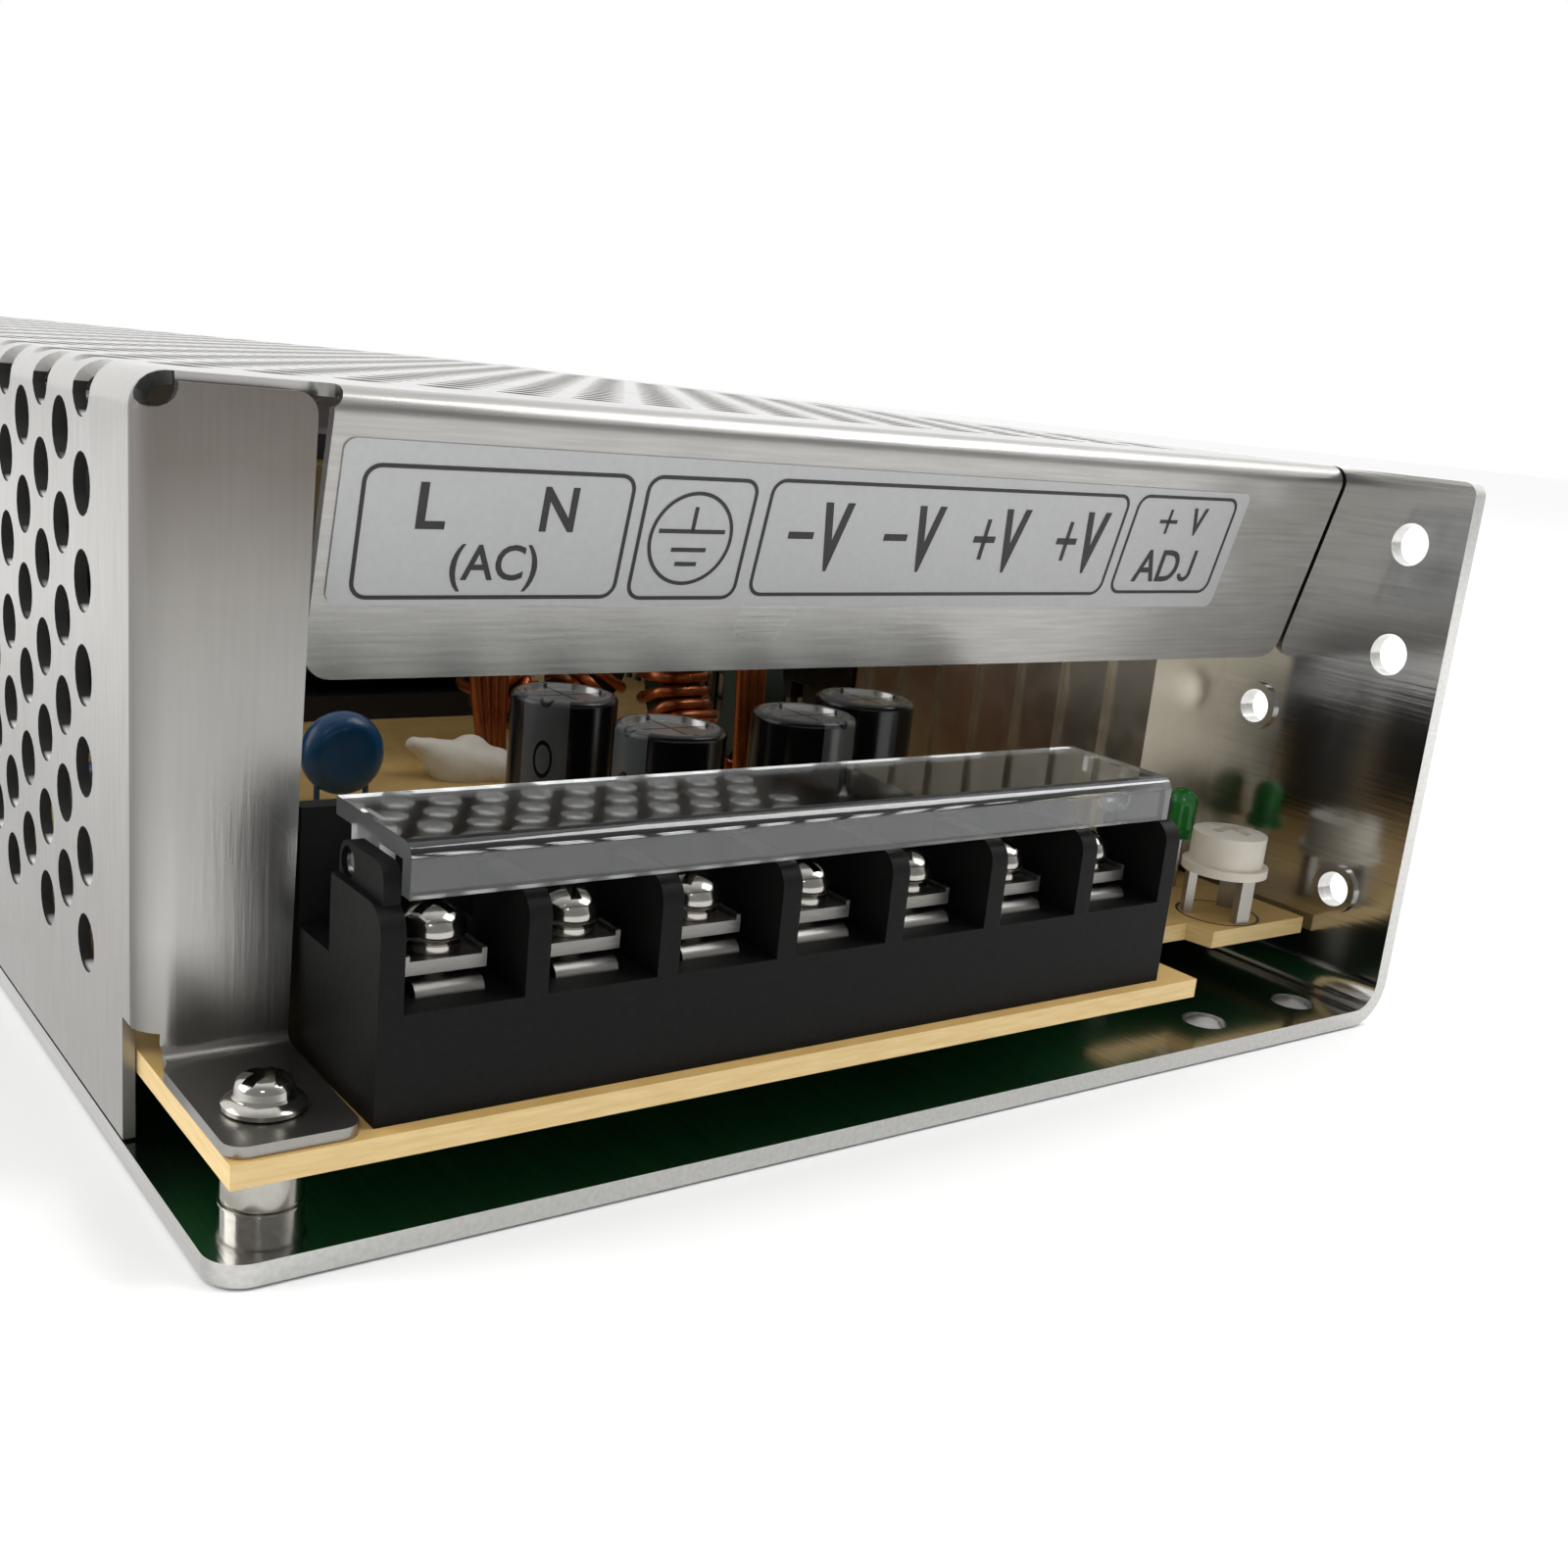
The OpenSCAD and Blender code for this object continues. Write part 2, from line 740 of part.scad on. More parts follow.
// Terminal screw with its spring washer, standing on the clamp
module terminal_screw(index) {
    color("gainsboro") place() translate([terminal_x(index), screw_y, head_z]) {
        translate([0, 0, washer_h])
            pan_screw(screw_head_d, head_h, screw_d, screw_len, recess_w, recess_depth);
        cylinder(d = washer_d, h = washer_h);
    }
}

// Clear flap: a plate with a rounded front lip and a lug with a pin at each end
module terminal_flap() {
    lug_z = hinge_z - lug_d / 2;
    color([0.85, 0.9, 0.92, 0.5]) place() {
        translate([flap_x0, 0, 0]) along_x(flap_w) difference() {
            union() {
                translate([flap_front, flap_under]) square([flap_back - flap_front, flap_t]);
                translate([flap_front, flap_lip_low]) square([flap_t, flap_top - flap_lip_low]);
            }
            translate([flap_front, flap_top]) mirror([0, 1]) corner_cut(flap_round);
        }
        for (side = [0, 1]) translate([flap_x0 + side * (flap_w - lug_t), 0, 0]) {
            along_x(lug_t) {
                translate([hinge_y, hinge_z]) circle(d = lug_d);
                translate([hinge_y - lug_d / 2, hinge_z]) square([lug_d, flap_under - hinge_z]);
                translate([hinge_y, hinge_z + 0.3]) square([lug_back - hinge_y, flap_under - hinge_z - 0.3]);
            }
            translate([side == 0 ? -hinge_len : lug_t - past, hinge_y, hinge_z]) rotate([0, 90, 0])
                cylinder(d = hinge_d, h = hinge_len + past);
        }
    }
}

module trimmer_base() {
    color("white") place() translate([trimmer_x, trimmer_y, board_top]) {
        translate([0, 0, trimmer_leg_h]) difference() {
            cylinder(d = trimmer_flange_d, h = trimmer_flange_t);
            translate([0, 0, -past])
                cylinder(d = trimmer_pin_d + trimmer_pin_play, h = trimmer_flange_t + 2 * past);
        }
        for (turn = [-96, 24, 144]) rotate(turn) translate([trimmer_flange_d / 2 - 1.4, -0.8, 0])
            cube([0.8, 1.6, trimmer_leg_h]);
    }
}

module trimmer_knob() {
    color("ivory") place() translate([trimmer_x, trimmer_y, board_top + trimmer_leg_h + trimmer_flange_t]) {
        difference() {
            intersection() {
                cylinder(d = knob_d, h = knob_h);
                translate([0, 0, knob_h - 2 * knob_d]) sphere(2 * knob_d);
            }
            translate([0, 0, knob_h - 0.9]) linear_extrude(2) {
                square([0.62 * knob_d, 1], center = true);
                square([1, 0.62 * knob_d], center = true);
            }
        }
        translate([0, 0, -trimmer_flange_t]) cylinder(d = trimmer_pin_d, h = trimmer_flange_t);
    }
}

module status_lamp() {
    color("limegreen") place() translate([lamp_x, lamp_y, board_top]) {
        for (side = [-1, 1]) translate([side * 0.6, 0, 0]) cylinder(d = lead_d, h = lamp_leg_h);
        translate([0, 0, lamp_leg_h]) {
            cylinder(d = lamp_rim_d, h = 0.8);
            cylinder(d = lamp_d, h = lamp_h - lamp_d / 2);
            translate([0, 0, lamp_h - lamp_d / 2]) sphere(d = lamp_d);
        }
    }
}

// Sleeved can with a crimped groove, a rounded rim and a recessed top
module capacitor(d, h) {
    r = d / 2;
    groove = 0.03 * d;
    groove_z = 0.22 * d;
    rim = 0.06 * d;
    rotate_extrude() difference() {
        union() {
            square([r, h - rim]);
            square([r - rim, h]);
            translate([r - rim, h - rim]) circle(rim);
        }
        translate([r, groove_z]) circle(groove);
        translate([-past, h - groove]) square([r - 2 * rim + past, groove + past]);
        translate([-d, -past]) square([d, h + 2 * past]);
    }
}

module output_capacitor(index) {
    color("darkslategray") place() translate([output_caps[index][0], output_caps[index][1], board_top])
        capacitor(output_cap_d, output_cap_h);
}

module bulk_capacitors() {
    color("darkslategray") place() for (spot = bulk_caps) translate([spot[0], spot[1], board_top])
        capacitor(bulk_cap_d, bulk_cap_h);
}

// Coated disc on two leads, standing with its edge to the board
module disc_part(d, t, lift) {
    r = d / 2;
    translate([0, 0, r + lift]) rotate([90, 0, 0]) rotate_extrude() difference() {
        union() {
            translate([0, -t / 2]) square([r - t / 2, t]);
            translate([r - t / 2, 0]) circle(t / 2);
        }
        translate([-d, -d]) square([d, 2 * d]);
    }
    for (side = [-1, 1]) translate([side * 0.3 * d, 0, 0]) cylinder(d = lead_d, h = lift + 0.3 * d);
}

module varistor() {
    color("steelblue") place() translate([varistor_place[0], varistor_place[1], board_top])
        disc_part(varistor_d, varistor_t, disc_lift);
}

module thermistor() {
    color("darkolivegreen") place() translate([thermistor_place[0], thermistor_place[1], board_top])
        disc_part(thermistor_d, thermistor_t, disc_lift);
}

module safety_capacitors() {
    color("royalblue") place() for (spot = safety_cap_places) translate([spot[0], spot[1], board_top])
        disc_part(safety_cap_d, safety_cap_t, disc_lift);
}

// Blob of white silicone at the foot of the choke
module glue_blob() {
    color("linen") place() translate([glue_place[0], glue_place[1], board_top]) intersection() {
        translate([-4 * glue_r, -4 * glue_r, 0]) cube(8 * glue_r);
        union() {
            sphere(glue_r, $fn = 40);
            translate([0.95 * glue_r, -0.3 * glue_r, 0]) sphere(0.83 * glue_r, $fn = 40);
            translate([-1.1 * glue_r, 0.17 * glue_r, 0.33 * glue_r]) sphere(0.61 * glue_r, $fn = 40);
        }
    }
}

// Ring of rectangular section about the z axis
module core_ring(r, thick, h) {
    rotate_extrude() translate([r - thick / 2, -h / 2]) square([thick, h]);
}

// Sleeve of wire around part of a ring, clear of the core inside it
module winding(r, thick, h, wire, turn, angle) {
    play = 0.05;
    rotate(turn - angle / 2) rotate_extrude(angle = angle) translate([r, 0]) difference() {
        square([thick + 2 * wire, h + 2 * wire], center = true);
        square([thick + 2 * play, h + 2 * play], center = true);
    }
}

// Common-mode choke, standing across the board
choke_lift = choke_r + choke_wire + 2;
module choke_place() {
    place() translate([choke_x, choke_y, board_top + choke_lift]) rotate([90, 0, 0]) children();
}

module choke_core() {
    color("dimgray") choke_place() core_ring(choke_r, ring_t, choke_ring_h);
}

module choke_windings() {
    color("sienna") choke_place() {
        for (turn = [0, 180]) winding(choke_r, ring_t, choke_ring_h, choke_wire / 2, turn, 130);
        for (side = [-1, 1], end = [-1, 1])
            translate([side * choke_r / 2, -choke_lift, end * (choke_ring_h / 2 + choke_wire / 4)])
                rotate([-90, 0, 0]) cylinder(d = choke_wire / 3, h = choke_lift - choke_r);
    }
}

// Output filter choke, standing along the board
module filter_place() {
    place() translate([filter_x, filter_y, board_top + filter_r + filter_wire + 0.7])
        rotate([90, 0, 90]) children();
}

module filter_core() {
    color("goldenrod") filter_place() core_ring(filter_r, ring_t, filter_ring_h);
}

module filter_winding() {
    color("chocolate") filter_place() winding(filter_r, ring_t, filter_ring_h, filter_wire / 2, 270, 320);
}

module heat_sink() {
    ribs = floor((sink_l - sink_rib_start) / sink_rib_step);
    color("darkgray") place() translate([wall_inner_x - sink_base, sink_y, sink_z]) {
        cube([sink_base, sink_l, sink_h]);
        for (rib = [0 : ribs]) translate([-sink_rib, sink_rib_start + rib * sink_rib_step, 0])
            cube([sink_rib, sink_rib_t, sink_h]);
    }
}

// Flat power package standing on its legs with its back towards +x
module power_package() {
    difference() {
        translate([0, -package_w / 2, package_legs]) cube([package_t, package_w, package_h]);
        translate([-past, -package_w / 2 - past, package_legs + 0.6 * package_h])
            cube([package_t - package_tab_t + past, package_w + 2 * past, package_h]);
        translate([-past, 0, package_legs + 0.82 * package_h]) rotate([0, 90, 0])
            cylinder(d = package_hole_d, h = package_t + 2 * past);
    }
    for (side = [-1, 0, 1]) translate([package_t / 2, side * leg_pitch - leg_w / 2, 0])
        cube([leg_t, leg_w, package_legs]);
}

// Gap between the packages and the right edge of the board
package_gap = 3;
package_x = board_right - package_t - package_gap;
bar_y = rectifier_ys[0] - bar_margin;
bar_l = transistor_ys[2] - rectifier_ys[0] + 2 * bar_margin;

module power_transistors() {
    color("black") place() for (y = transistor_ys) translate([package_x, y, board_top]) power_package();
}

module output_rectifiers() {
    color("black") place() for (y = rectifier_ys) translate([package_x, y, board_top]) power_package();
}

// Aluminium bar between the packages and the wall
module heat_spreader() {
    bar_x = package_x + package_t;
    color("silver") place() translate([bar_x, bar_y, board_top + package_legs])
        cube([wall_inner_x - bar_x, bar_l, package_h]);
}

// Steel bar that presses the packages to the spreader
module transistor_clamp() {
    bar_z = board_top + package_legs + clamp_bar_h / 2;
    color("silver") place() translate([package_x - clamp_bar_t, bar_y, bar_z])
        cube([clamp_bar_t, bar_l, clamp_bar_h]);
}

core_h = transformer_h - transformer_foot;

// Window core around the transformer's middle, standing on its bobbin
module transformer_core() {
    window = [
        transformer_l / 2 - 1.6 * transformer_limb, transformer_leg + 2 * past, core_h - 2 * transformer_limb
    ];
    color("dimgray") place() translate([transformer_x, transformer_y, board_top + transformer_foot])
        translate([0, 0, core_h / 2]) difference() {
            cube([transformer_l, transformer_leg, core_h], center = true);
            for (side = [-1, 1])
                translate([side * (transformer_l - transformer_limb) / 4, 0, 0]) cube(window, center = true);
        }
}

module transformer_bobbin() {
    color("darkslategray") place() translate([transformer_x, transformer_y, board_top])
        translate([-transformer_l / 2, -transformer_d / 2, 0])
            cube([transformer_l, transformer_d, transformer_foot]);
}

// Two taped coils in front of and behind the core
module transformer_winding() {
    coil_d = (transformer_d - transformer_leg) / 2;
    coil = [transformer_l - transformer_limb, coil_d, core_h - transformer_limb];
    color("goldenrod") place() translate([transformer_x, transformer_y, board_top + transformer_foot])
        for (side = [-1, 1]) translate([0, side * (transformer_leg + coil_d) / 2, core_h / 2])
            cube(coil, center = true);
}

module bridge_rectifier() {
    color("black") place() translate([bridge_place[0], bridge_place[1], board_top]) {
        translate([0, 0, bridge_leg_h]) cube(bridge_size);
        for (leg = [0 : 3]) translate([bridge_leg_pitch / 2 + leg * bridge_leg_pitch, bridge_size[1] / 2, 0])
            cube([leg_w, leg_w, bridge_leg_h]);
    }
}

module line_capacitor() {
    color("gold") place() translate([line_cap_place[0], line_cap_place[1], board_top])
        linear_extrude(line_cap_size[2]) rounded(line_cap_size[0], line_cap_size[1], line_cap_round);
}

module fuse() {
    cap_d = fuse_d + 2 * fuse_cap_t;
    color("white") place() translate([fuse_place[0], fuse_place[1], board_top + fuse_lift])
      rotate([0, 90, 0]) {
        cylinder(d = fuse_d, h = fuse_l);
        for (x = [0, fuse_l - fuse_cap_l]) translate([0, 0, x]) difference() {
            cylinder(d = cap_d, h = fuse_cap_l);
            translate([0, 0, -past]) cylinder(d = fuse_d, h = fuse_cap_l + 2 * past);
        }
    }
}

// Two springy holders around the ends of the fuse
module fuse_clips() {
    bore = fuse_d + 2 * fuse_cap_t + clip_play;
    inset = (fuse_cap_l - clip_l) / 2;
    color("silver") place() for (x = [inset, fuse_l - fuse_cap_l + inset])
        translate([fuse_place[0] + x, fuse_place[1], board_top]) difference() {
            translate([0, -clip_w / 2, 0]) cube([clip_l, clip_w, clip_h]);
            translate([-past, 0, fuse_lift]) rotate([0, 90, 0]) cylinder(d = bore, h = clip_l + 2 * past);
        }
}

// Flat chip with two rows of pins
module dual_in_line(l, pins) {
    translate([-l / 2, -chip_w / 2, chip_lift]) cube([l, chip_w, chip_h]);
    for (pin = [0 : pins - 1], side = [-1, 1])
        translate([
            (pin - (pins - 1) / 2) * leg_pitch - leg_t / 2, side * (chip_w + leg_w) / 2 - leg_w / 2, 0
        ]) cube([leg_t, leg_w, chip_lift + chip_h / 2]);
}

module control_chip() {
    color("black") place() translate([chip_place[0], chip_place[1], board_top]) dual_in_line(chip_l, 7);
}

module optocoupler() {
    color("black") place() translate([optocoupler_place[0], optocoupler_place[1], board_top])
        dual_in_line(optocoupler_l, 2);
}

module drive_transformer() {
    color("goldenrod") place() translate([drive_place[0], drive_place[1], board_top]) {
        translate([-drive_core[0] / 2, -drive_core[1] / 2, 0]) cube(drive_core);
        translate([-drive_coil[0] / 2, -drive_coil[1] / 2, drive_coil_lift]) cube(drive_coil);
    }
}

module resistors() {
    color("tan") place() for (index = [0 : 4])
        translate([resistor_place[0] + index * resistor_step, resistor_place[1], board_top])
        translate([0, 0, resistor_d / 2]) {
            rotate([90, 0, 0]) cylinder(d = resistor_d, h = resistor_l, center = true);
            for (side = [-1, 1])
                translate([-lead_d / 2, side * (resistor_l / 2 - lead_d) - lead_d / 2, -resistor_d / 2])
                    cube([lead_d, lead_d, resistor_d / 2]);
        }
}

chassis();
cover();
terminal_label();
cover_screws();
circuit_board();
board_standoffs();
board_screws();
terminal_block();
terminal_contacts();
clamp_plate(0);  // clamp_plate_1
clamp_plate(1);  // clamp_plate_2
clamp_plate(2);  // clamp_plate_3
clamp_plate(3);  // clamp_plate_4
clamp_plate(4);  // clamp_plate_5
clamp_plate(5);  // clamp_plate_6
clamp_plate(6);  // clamp_plate_7
terminal_screw(0);  // terminal_screw_1
terminal_screw(1);  // terminal_screw_2
terminal_screw(2);  // terminal_screw_3
terminal_screw(3);  // terminal_screw_4
terminal_screw(4);  // terminal_screw_5
terminal_screw(5);  // terminal_screw_6
terminal_screw(6);  // terminal_screw_7
terminal_flap();
trimmer_base();
trimmer_knob();
status_lamp();
output_capacitor(0);  // output_capacitor_1
output_capacitor(1);  // output_capacitor_2
output_capacitor(2);  // output_capacitor_3
output_capacitor(3);  // output_capacitor_4
bulk_capacitors();
varistor();
glue_blob();
choke_core();
choke_windings();
filter_core();
filter_winding();
heat_sink();
output_rectifiers();
transformer_core();
transformer_bobbin();
transformer_winding();
power_transistors();
heat_spreader();
transistor_clamp();
bridge_rectifier();
line_capacitor();
safety_capacitors();
fuse();
fuse_clips();
thermistor();
control_chip();
optocoupler();
drive_transformer();
resistors();
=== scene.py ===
# Enclosed switching power supply: folded chassis, perforated cover, screw terminals at the open front.
import math

import bmesh
import bpy
from mathutils import Matrix, Vector


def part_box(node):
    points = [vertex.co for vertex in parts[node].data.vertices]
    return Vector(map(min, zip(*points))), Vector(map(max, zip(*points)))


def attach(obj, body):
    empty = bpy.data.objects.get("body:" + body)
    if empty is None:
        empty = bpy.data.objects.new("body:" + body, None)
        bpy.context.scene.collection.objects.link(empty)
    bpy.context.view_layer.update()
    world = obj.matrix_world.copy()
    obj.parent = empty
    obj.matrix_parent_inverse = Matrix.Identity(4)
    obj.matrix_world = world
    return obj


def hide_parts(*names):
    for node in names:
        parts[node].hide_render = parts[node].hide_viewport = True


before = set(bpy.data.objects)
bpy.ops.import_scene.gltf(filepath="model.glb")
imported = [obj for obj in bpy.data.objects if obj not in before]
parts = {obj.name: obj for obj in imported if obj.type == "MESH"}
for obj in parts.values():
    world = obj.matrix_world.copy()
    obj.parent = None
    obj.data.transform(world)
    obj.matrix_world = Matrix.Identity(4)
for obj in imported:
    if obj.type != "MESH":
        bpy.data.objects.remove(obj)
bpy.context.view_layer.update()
scene = bpy.context.scene

# Stage: a pale floor in a soft white room that is brighter behind the object, with a window from the left,
# one from the upper right and a small lamp. The camera stands close to the terminals, just above the lid.
CASE_W, CASE_L, CASE_H = 110.0, 199.0, 50.0
MM = 0.001
FLOOR_R = 4.0
FLOOR_GAP = 0.0002


def at(x, y, z):
    """A point in metres from millimetres counted from the case's front left lower corner."""
    return Vector(((x - CASE_W / 2) * MM, (y - CASE_L / 2) * MM, z * MM))


def linear(hex_colour):
    """sRGB hex to the linear colour that shaders take."""
    channels = [int(hex_colour[i:i + 2], 16) / 255 for i in (1, 3, 5)]
    return [c / 12.92 if c <= 0.04045 else ((c + 0.055) / 1.055) ** 2.4 for c in channels] + [1.0]


def add_node(tree, kind, links=None, out=0, **settings):
    """One shader node with its settings, its inputs set to values or linked to sockets; gives one output.

    A colour mix has its colours on inputs 6 and 7 and gives output 2; a value mix has inputs 2 and 3.
    """
    made = tree.nodes.new("ShaderNode" + kind)
    for name, value in settings.items():
        setattr(made, name, value)
    for socket, value in (links or {}).items():
        if isinstance(value, bpy.types.NodeSocket):
            tree.links.new(value, made.inputs[socket])
        else:
            made.inputs[socket].default_value = value
    return made.outputs[out]


def new_material(name, **sockets):
    """A material with a Principled shader, its constant sockets set by name."""
    material = bpy.data.materials.new(name)
    material.use_nodes = True
    tree = material.node_tree
    shader = tree.nodes["Principled BSDF"]
    for socket, value in sockets.items():
        shader.inputs[socket.replace("_", " ")].default_value = value
    place = add_node(tree, "TexCoord", out="Object")
    return material, tree, shader, place


def two_tones(tree, shader, place, patch, detail, dark, pale):
    """A base colour that drifts between two tones, in patches of a size in mm; gives their pattern."""
    pattern = add_node(tree, "TexNoise", {"Vector": place, "Scale": 1 / (patch * MM), "Detail": detail})
    tones = {"Factor": pattern, 6: linear(dark), 7: linear(pale)}
    tones = add_node(tree, "Mix", tones, data_type="RGBA", out=2)
    tree.links.new(tones, shader.inputs["Base Color"])
    return pattern


def as_mesh(name, shape):
    """A mesh from a finished bmesh, which is used up."""
    mesh = bpy.data.meshes.new(name)
    shape.to_mesh(mesh)
    shape.free()
    return mesh


floor_shape = bmesh.new()
bmesh.ops.create_circle(floor_shape, cap_ends=True, segments=96, radius=FLOOR_R)
floor = bpy.data.objects.new("floor", as_mesh("floor", floor_shape))
scene.collection.objects.link(floor)
floor.location.z = -FLOOR_GAP
# Matt floor paint: an even white without gloss, very slightly cloudy.
floor_paint, tree, shader, place = new_material("matt_white_floor", Roughness=0.9)
two_tones(tree, shader, place, 25, 2.0, "#F4F4F4", "#FAFAFA")
floor.data.materials.append(floor_paint)

world = bpy.data.worlds.new("white_room")
scene.world = world
world.use_nodes = True
sky = world.node_tree
direction = add_node(sky, "TexCoord", out="Generated")
behind = {0: direction, 1: (0.45, 0.88, 0.1)}
behind = add_node(sky, "VectorMath", behind, out="Value", operation="DOT_PRODUCT")
glow = {"Value": behind, "From Min": -0.5, "From Max": 0.35, "To Min": 0.4, "To Max": 1.4}
glow = add_node(sky, "MapRange", glow, interpolation_type="SMOOTHSTEP")
seen = add_node(sky, "LightPath", out="Is Camera Ray")
backdrop = add_node(sky, "Mix", {"Factor": seen, 2: glow, 3: 1.0})
sky.links.new(backdrop, sky.nodes["Background"].inputs["Strength"])
sky.nodes["Background"].inputs["Color"].default_value = (1.0, 1.0, 1.0, 1.0)

LIGHT_AIM = Vector((0.0, -0.06, 0.02))
for name, spot, size, watts in (
    ("window_left", (-0.75, 0.25, 0.4), 0.6, 4.0),
    ("window_above_right", (0.45, -0.25, 0.6), 0.35, 3.0),
    ("small_front_lamp", (-0.3, -0.55, 0.45), 0.08, 0.35),
):
    lamp = bpy.data.lights.new(name, "AREA")
    lamp.shape = "SQUARE"
    lamp.size = size
    lamp.energy = watts
    lamp_object = bpy.data.objects.new(name, lamp)
    scene.collection.objects.link(lamp_object)
    lamp_object.location = spot
    lamp_object.rotation_mode = "QUATERNION"
    lamp_object.rotation_quaternion = (LIGHT_AIM - Vector(spot)).to_track_quat("-Z", "Y")

camera_data = bpy.data.cameras.new("camera")
camera_data.sensor_width = 36.0
camera_data.lens = 38.77
camera_data.shift_x = 0.0025
camera_data.shift_y = 0.0331
camera_data.clip_start = 0.001
camera = bpy.data.objects.new("camera", camera_data)
scene.collection.objects.link(camera)
camera_spot = at(-28.2, -84.66, 53.16)
camera_right = Vector((0.8057, -0.5841, 0.0984))
camera_down = Vector((-0.078, -0.2694, -0.9599))
camera_ahead = camera_right.cross(camera_down).normalized()
camera_right = camera_right.normalized()
camera_up = (-camera_ahead).cross(camera_right).normalized()
camera_turn = Matrix((camera_right, camera_up, -camera_ahead)).transposed()
camera.matrix_world = Matrix.Translation(camera_spot) @ camera_turn.to_4x4()
scene.camera = camera
scene.view_settings.view_transform = "Standard"


# Chassis: one sheet of bright aluminium, punched and bent to a floor and a right side wall. It carries
# the board on its spacers and takes the cover's screws in the rimmed holes of its wall.
def paint(material, *nodes):
    """Gives CAD nodes a material in place of their plain one."""
    for name in nodes:
        parts[name].data.materials.clear()
        parts[name].data.materials.append(material)


# Mill-finished aluminium: nearly a mirror, with a fine rolling grain and a little haze from handling.
aluminium, tree, shader, place = new_material("bright_rolled_aluminium", Metallic=1.0)
rolling = (1 / (0.4 * MM), 1 / (16.7 * MM), 1 / (0.4 * MM))
rolled = add_node(tree, "Mapping", {"Vector": place, "Scale": rolling})
grain = add_node(tree, "TexNoise", {"Vector": rolled, "Scale": 1.0, "Detail": 3.0})
haze = add_node(tree, "TexNoise", {"Vector": place, "Scale": 1 / (22.2 * MM), "Detail": 4.0})
blur = add_node(tree, "MapRange", {"Value": haze, "To Min": 0.07, "To Max": 0.22})
tree.links.new(blur, shader.inputs["Roughness"])
tone = {"Factor": grain, 6: linear("#A9A8A5"), 7: linear("#CFCECB")}
tone = add_node(tree, "Mix", tone, data_type="RGBA", out=2)
tree.links.new(tone, shader.inputs["Base Color"])
bump = add_node(tree, "Bump", {"Height": grain, "Strength": 0.04, "Distance": 0.2 * MM})
tree.links.new(bump, shader.inputs["Normal"])
paint(aluminium, "chassis")


# Spacers and board screws: steel, turned or cold-headed and then plated. The spacers are pressed into the
# chassis floor, and a round-headed screw on each holds the board; the first holds the cover's foot tab too.
def new_piece(name, shape, body="root"):
    """An object for a finished bmesh in millimetres of case coordinates, riding on a body."""
    to_metres = Matrix.Translation(at(0, 0, 0)) @ Matrix.Scale(MM, 4)
    bmesh.ops.transform(shape, matrix=to_metres, verts=shape.verts)
    piece = bpy.data.objects.new(name, as_mesh(name, shape))
    scene.collection.objects.link(piece)
    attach(piece, body)
    return piece


def smooth(mesh, degrees=35):
    """Smooth faces, with a sharp edge wherever two faces meet at more than this angle."""
    for face in mesh.polygons:
        face.use_smooth = True
    mesh.set_sharp_from_angle(angle=math.radians(degrees))


def lathed(profile):
    """A turned solid from its outline of radius and height, about the z axis."""
    shape = bmesh.new()
    rim = [shape.verts.new((radius, 0, height)) for radius, height in profile]
    for first, second in zip(rim, rim[1:]):
        shape.edges.new((first, second))
    bmesh.ops.spin(
        shape, geom=shape.verts[:] + shape.edges[:], cent=(0, 0, 0), axis=(0, 0, 1), angle=2 * math.pi,
        steps=40, use_merge=True,
    )
    bmesh.ops.remove_doubles(shape, verts=shape.verts[:], dist=0.001)
    bmesh.ops.recalc_face_normals(shape, faces=shape.faces[:])
    return shape


def finished_mesh(piece):
    """The mesh of an object after its modifiers, or of a curve or text made solid."""
    bpy.context.view_layer.update()
    return bpy.data.meshes.new_from_object(piece.evaluated_get(bpy.context.evaluated_depsgraph_get()))


RECESS_TURN = 0.5


def pan_screw(low, shank_r, head, recess_reach, recess_width, recess_depth):
    """Mesh of a screw with a crossed recess; head is its outline of radius and height, from seat to top."""
    profile = [(0.0, low), (shank_r, low), (shank_r, head[0][1])] + head
    top = head[-1][1]
    recess = bmesh.new()
    for quarter in (0, 1):
        size = Matrix.Diagonal((recess_reach, recess_width, 2 * recess_depth, 1.0))
        arm = Matrix.Rotation(quarter * math.pi / 2 + RECESS_TURN, 4, "Z") @ size
        bmesh.ops.create_cube(recess, size=1.0, matrix=Matrix.Translation((0, 0, top)) @ arm)
    tools = []
    for name, shape in (("screw_blank", lathed(profile)), ("screw_recess", recess)):
        tools.append(bpy.data.objects.new(name, as_mesh(name, shape)))
        scene.collection.objects.link(tools[-1])
    punch = tools[0].modifiers.new("recess", "BOOLEAN")
    punch.operation = "DIFFERENCE"
    punch.object = tools[1]
    punch.use_self = True
    finished = finished_mesh(tools[0])
    for tool in tools:
        bpy.data.objects.remove(tool)
    return finished


# Bright nickel or zinc plate: mirror-like, warmer than aluminium, with small worn patches that blur it.
plated, tree, shader, place = new_material("bright_plated_steel", Metallic=1.0)
wear = two_tones(tree, shader, place, 1.11, 3.0, "#98958E", "#B9B6AF")
blur = add_node(tree, "MapRange", {"Value": wear, "To Min": 0.08, "To Max": 0.22})
tree.links.new(blur, shader.inputs["Roughness"])
paint(plated, "cover_screws", "transistor_clamp")

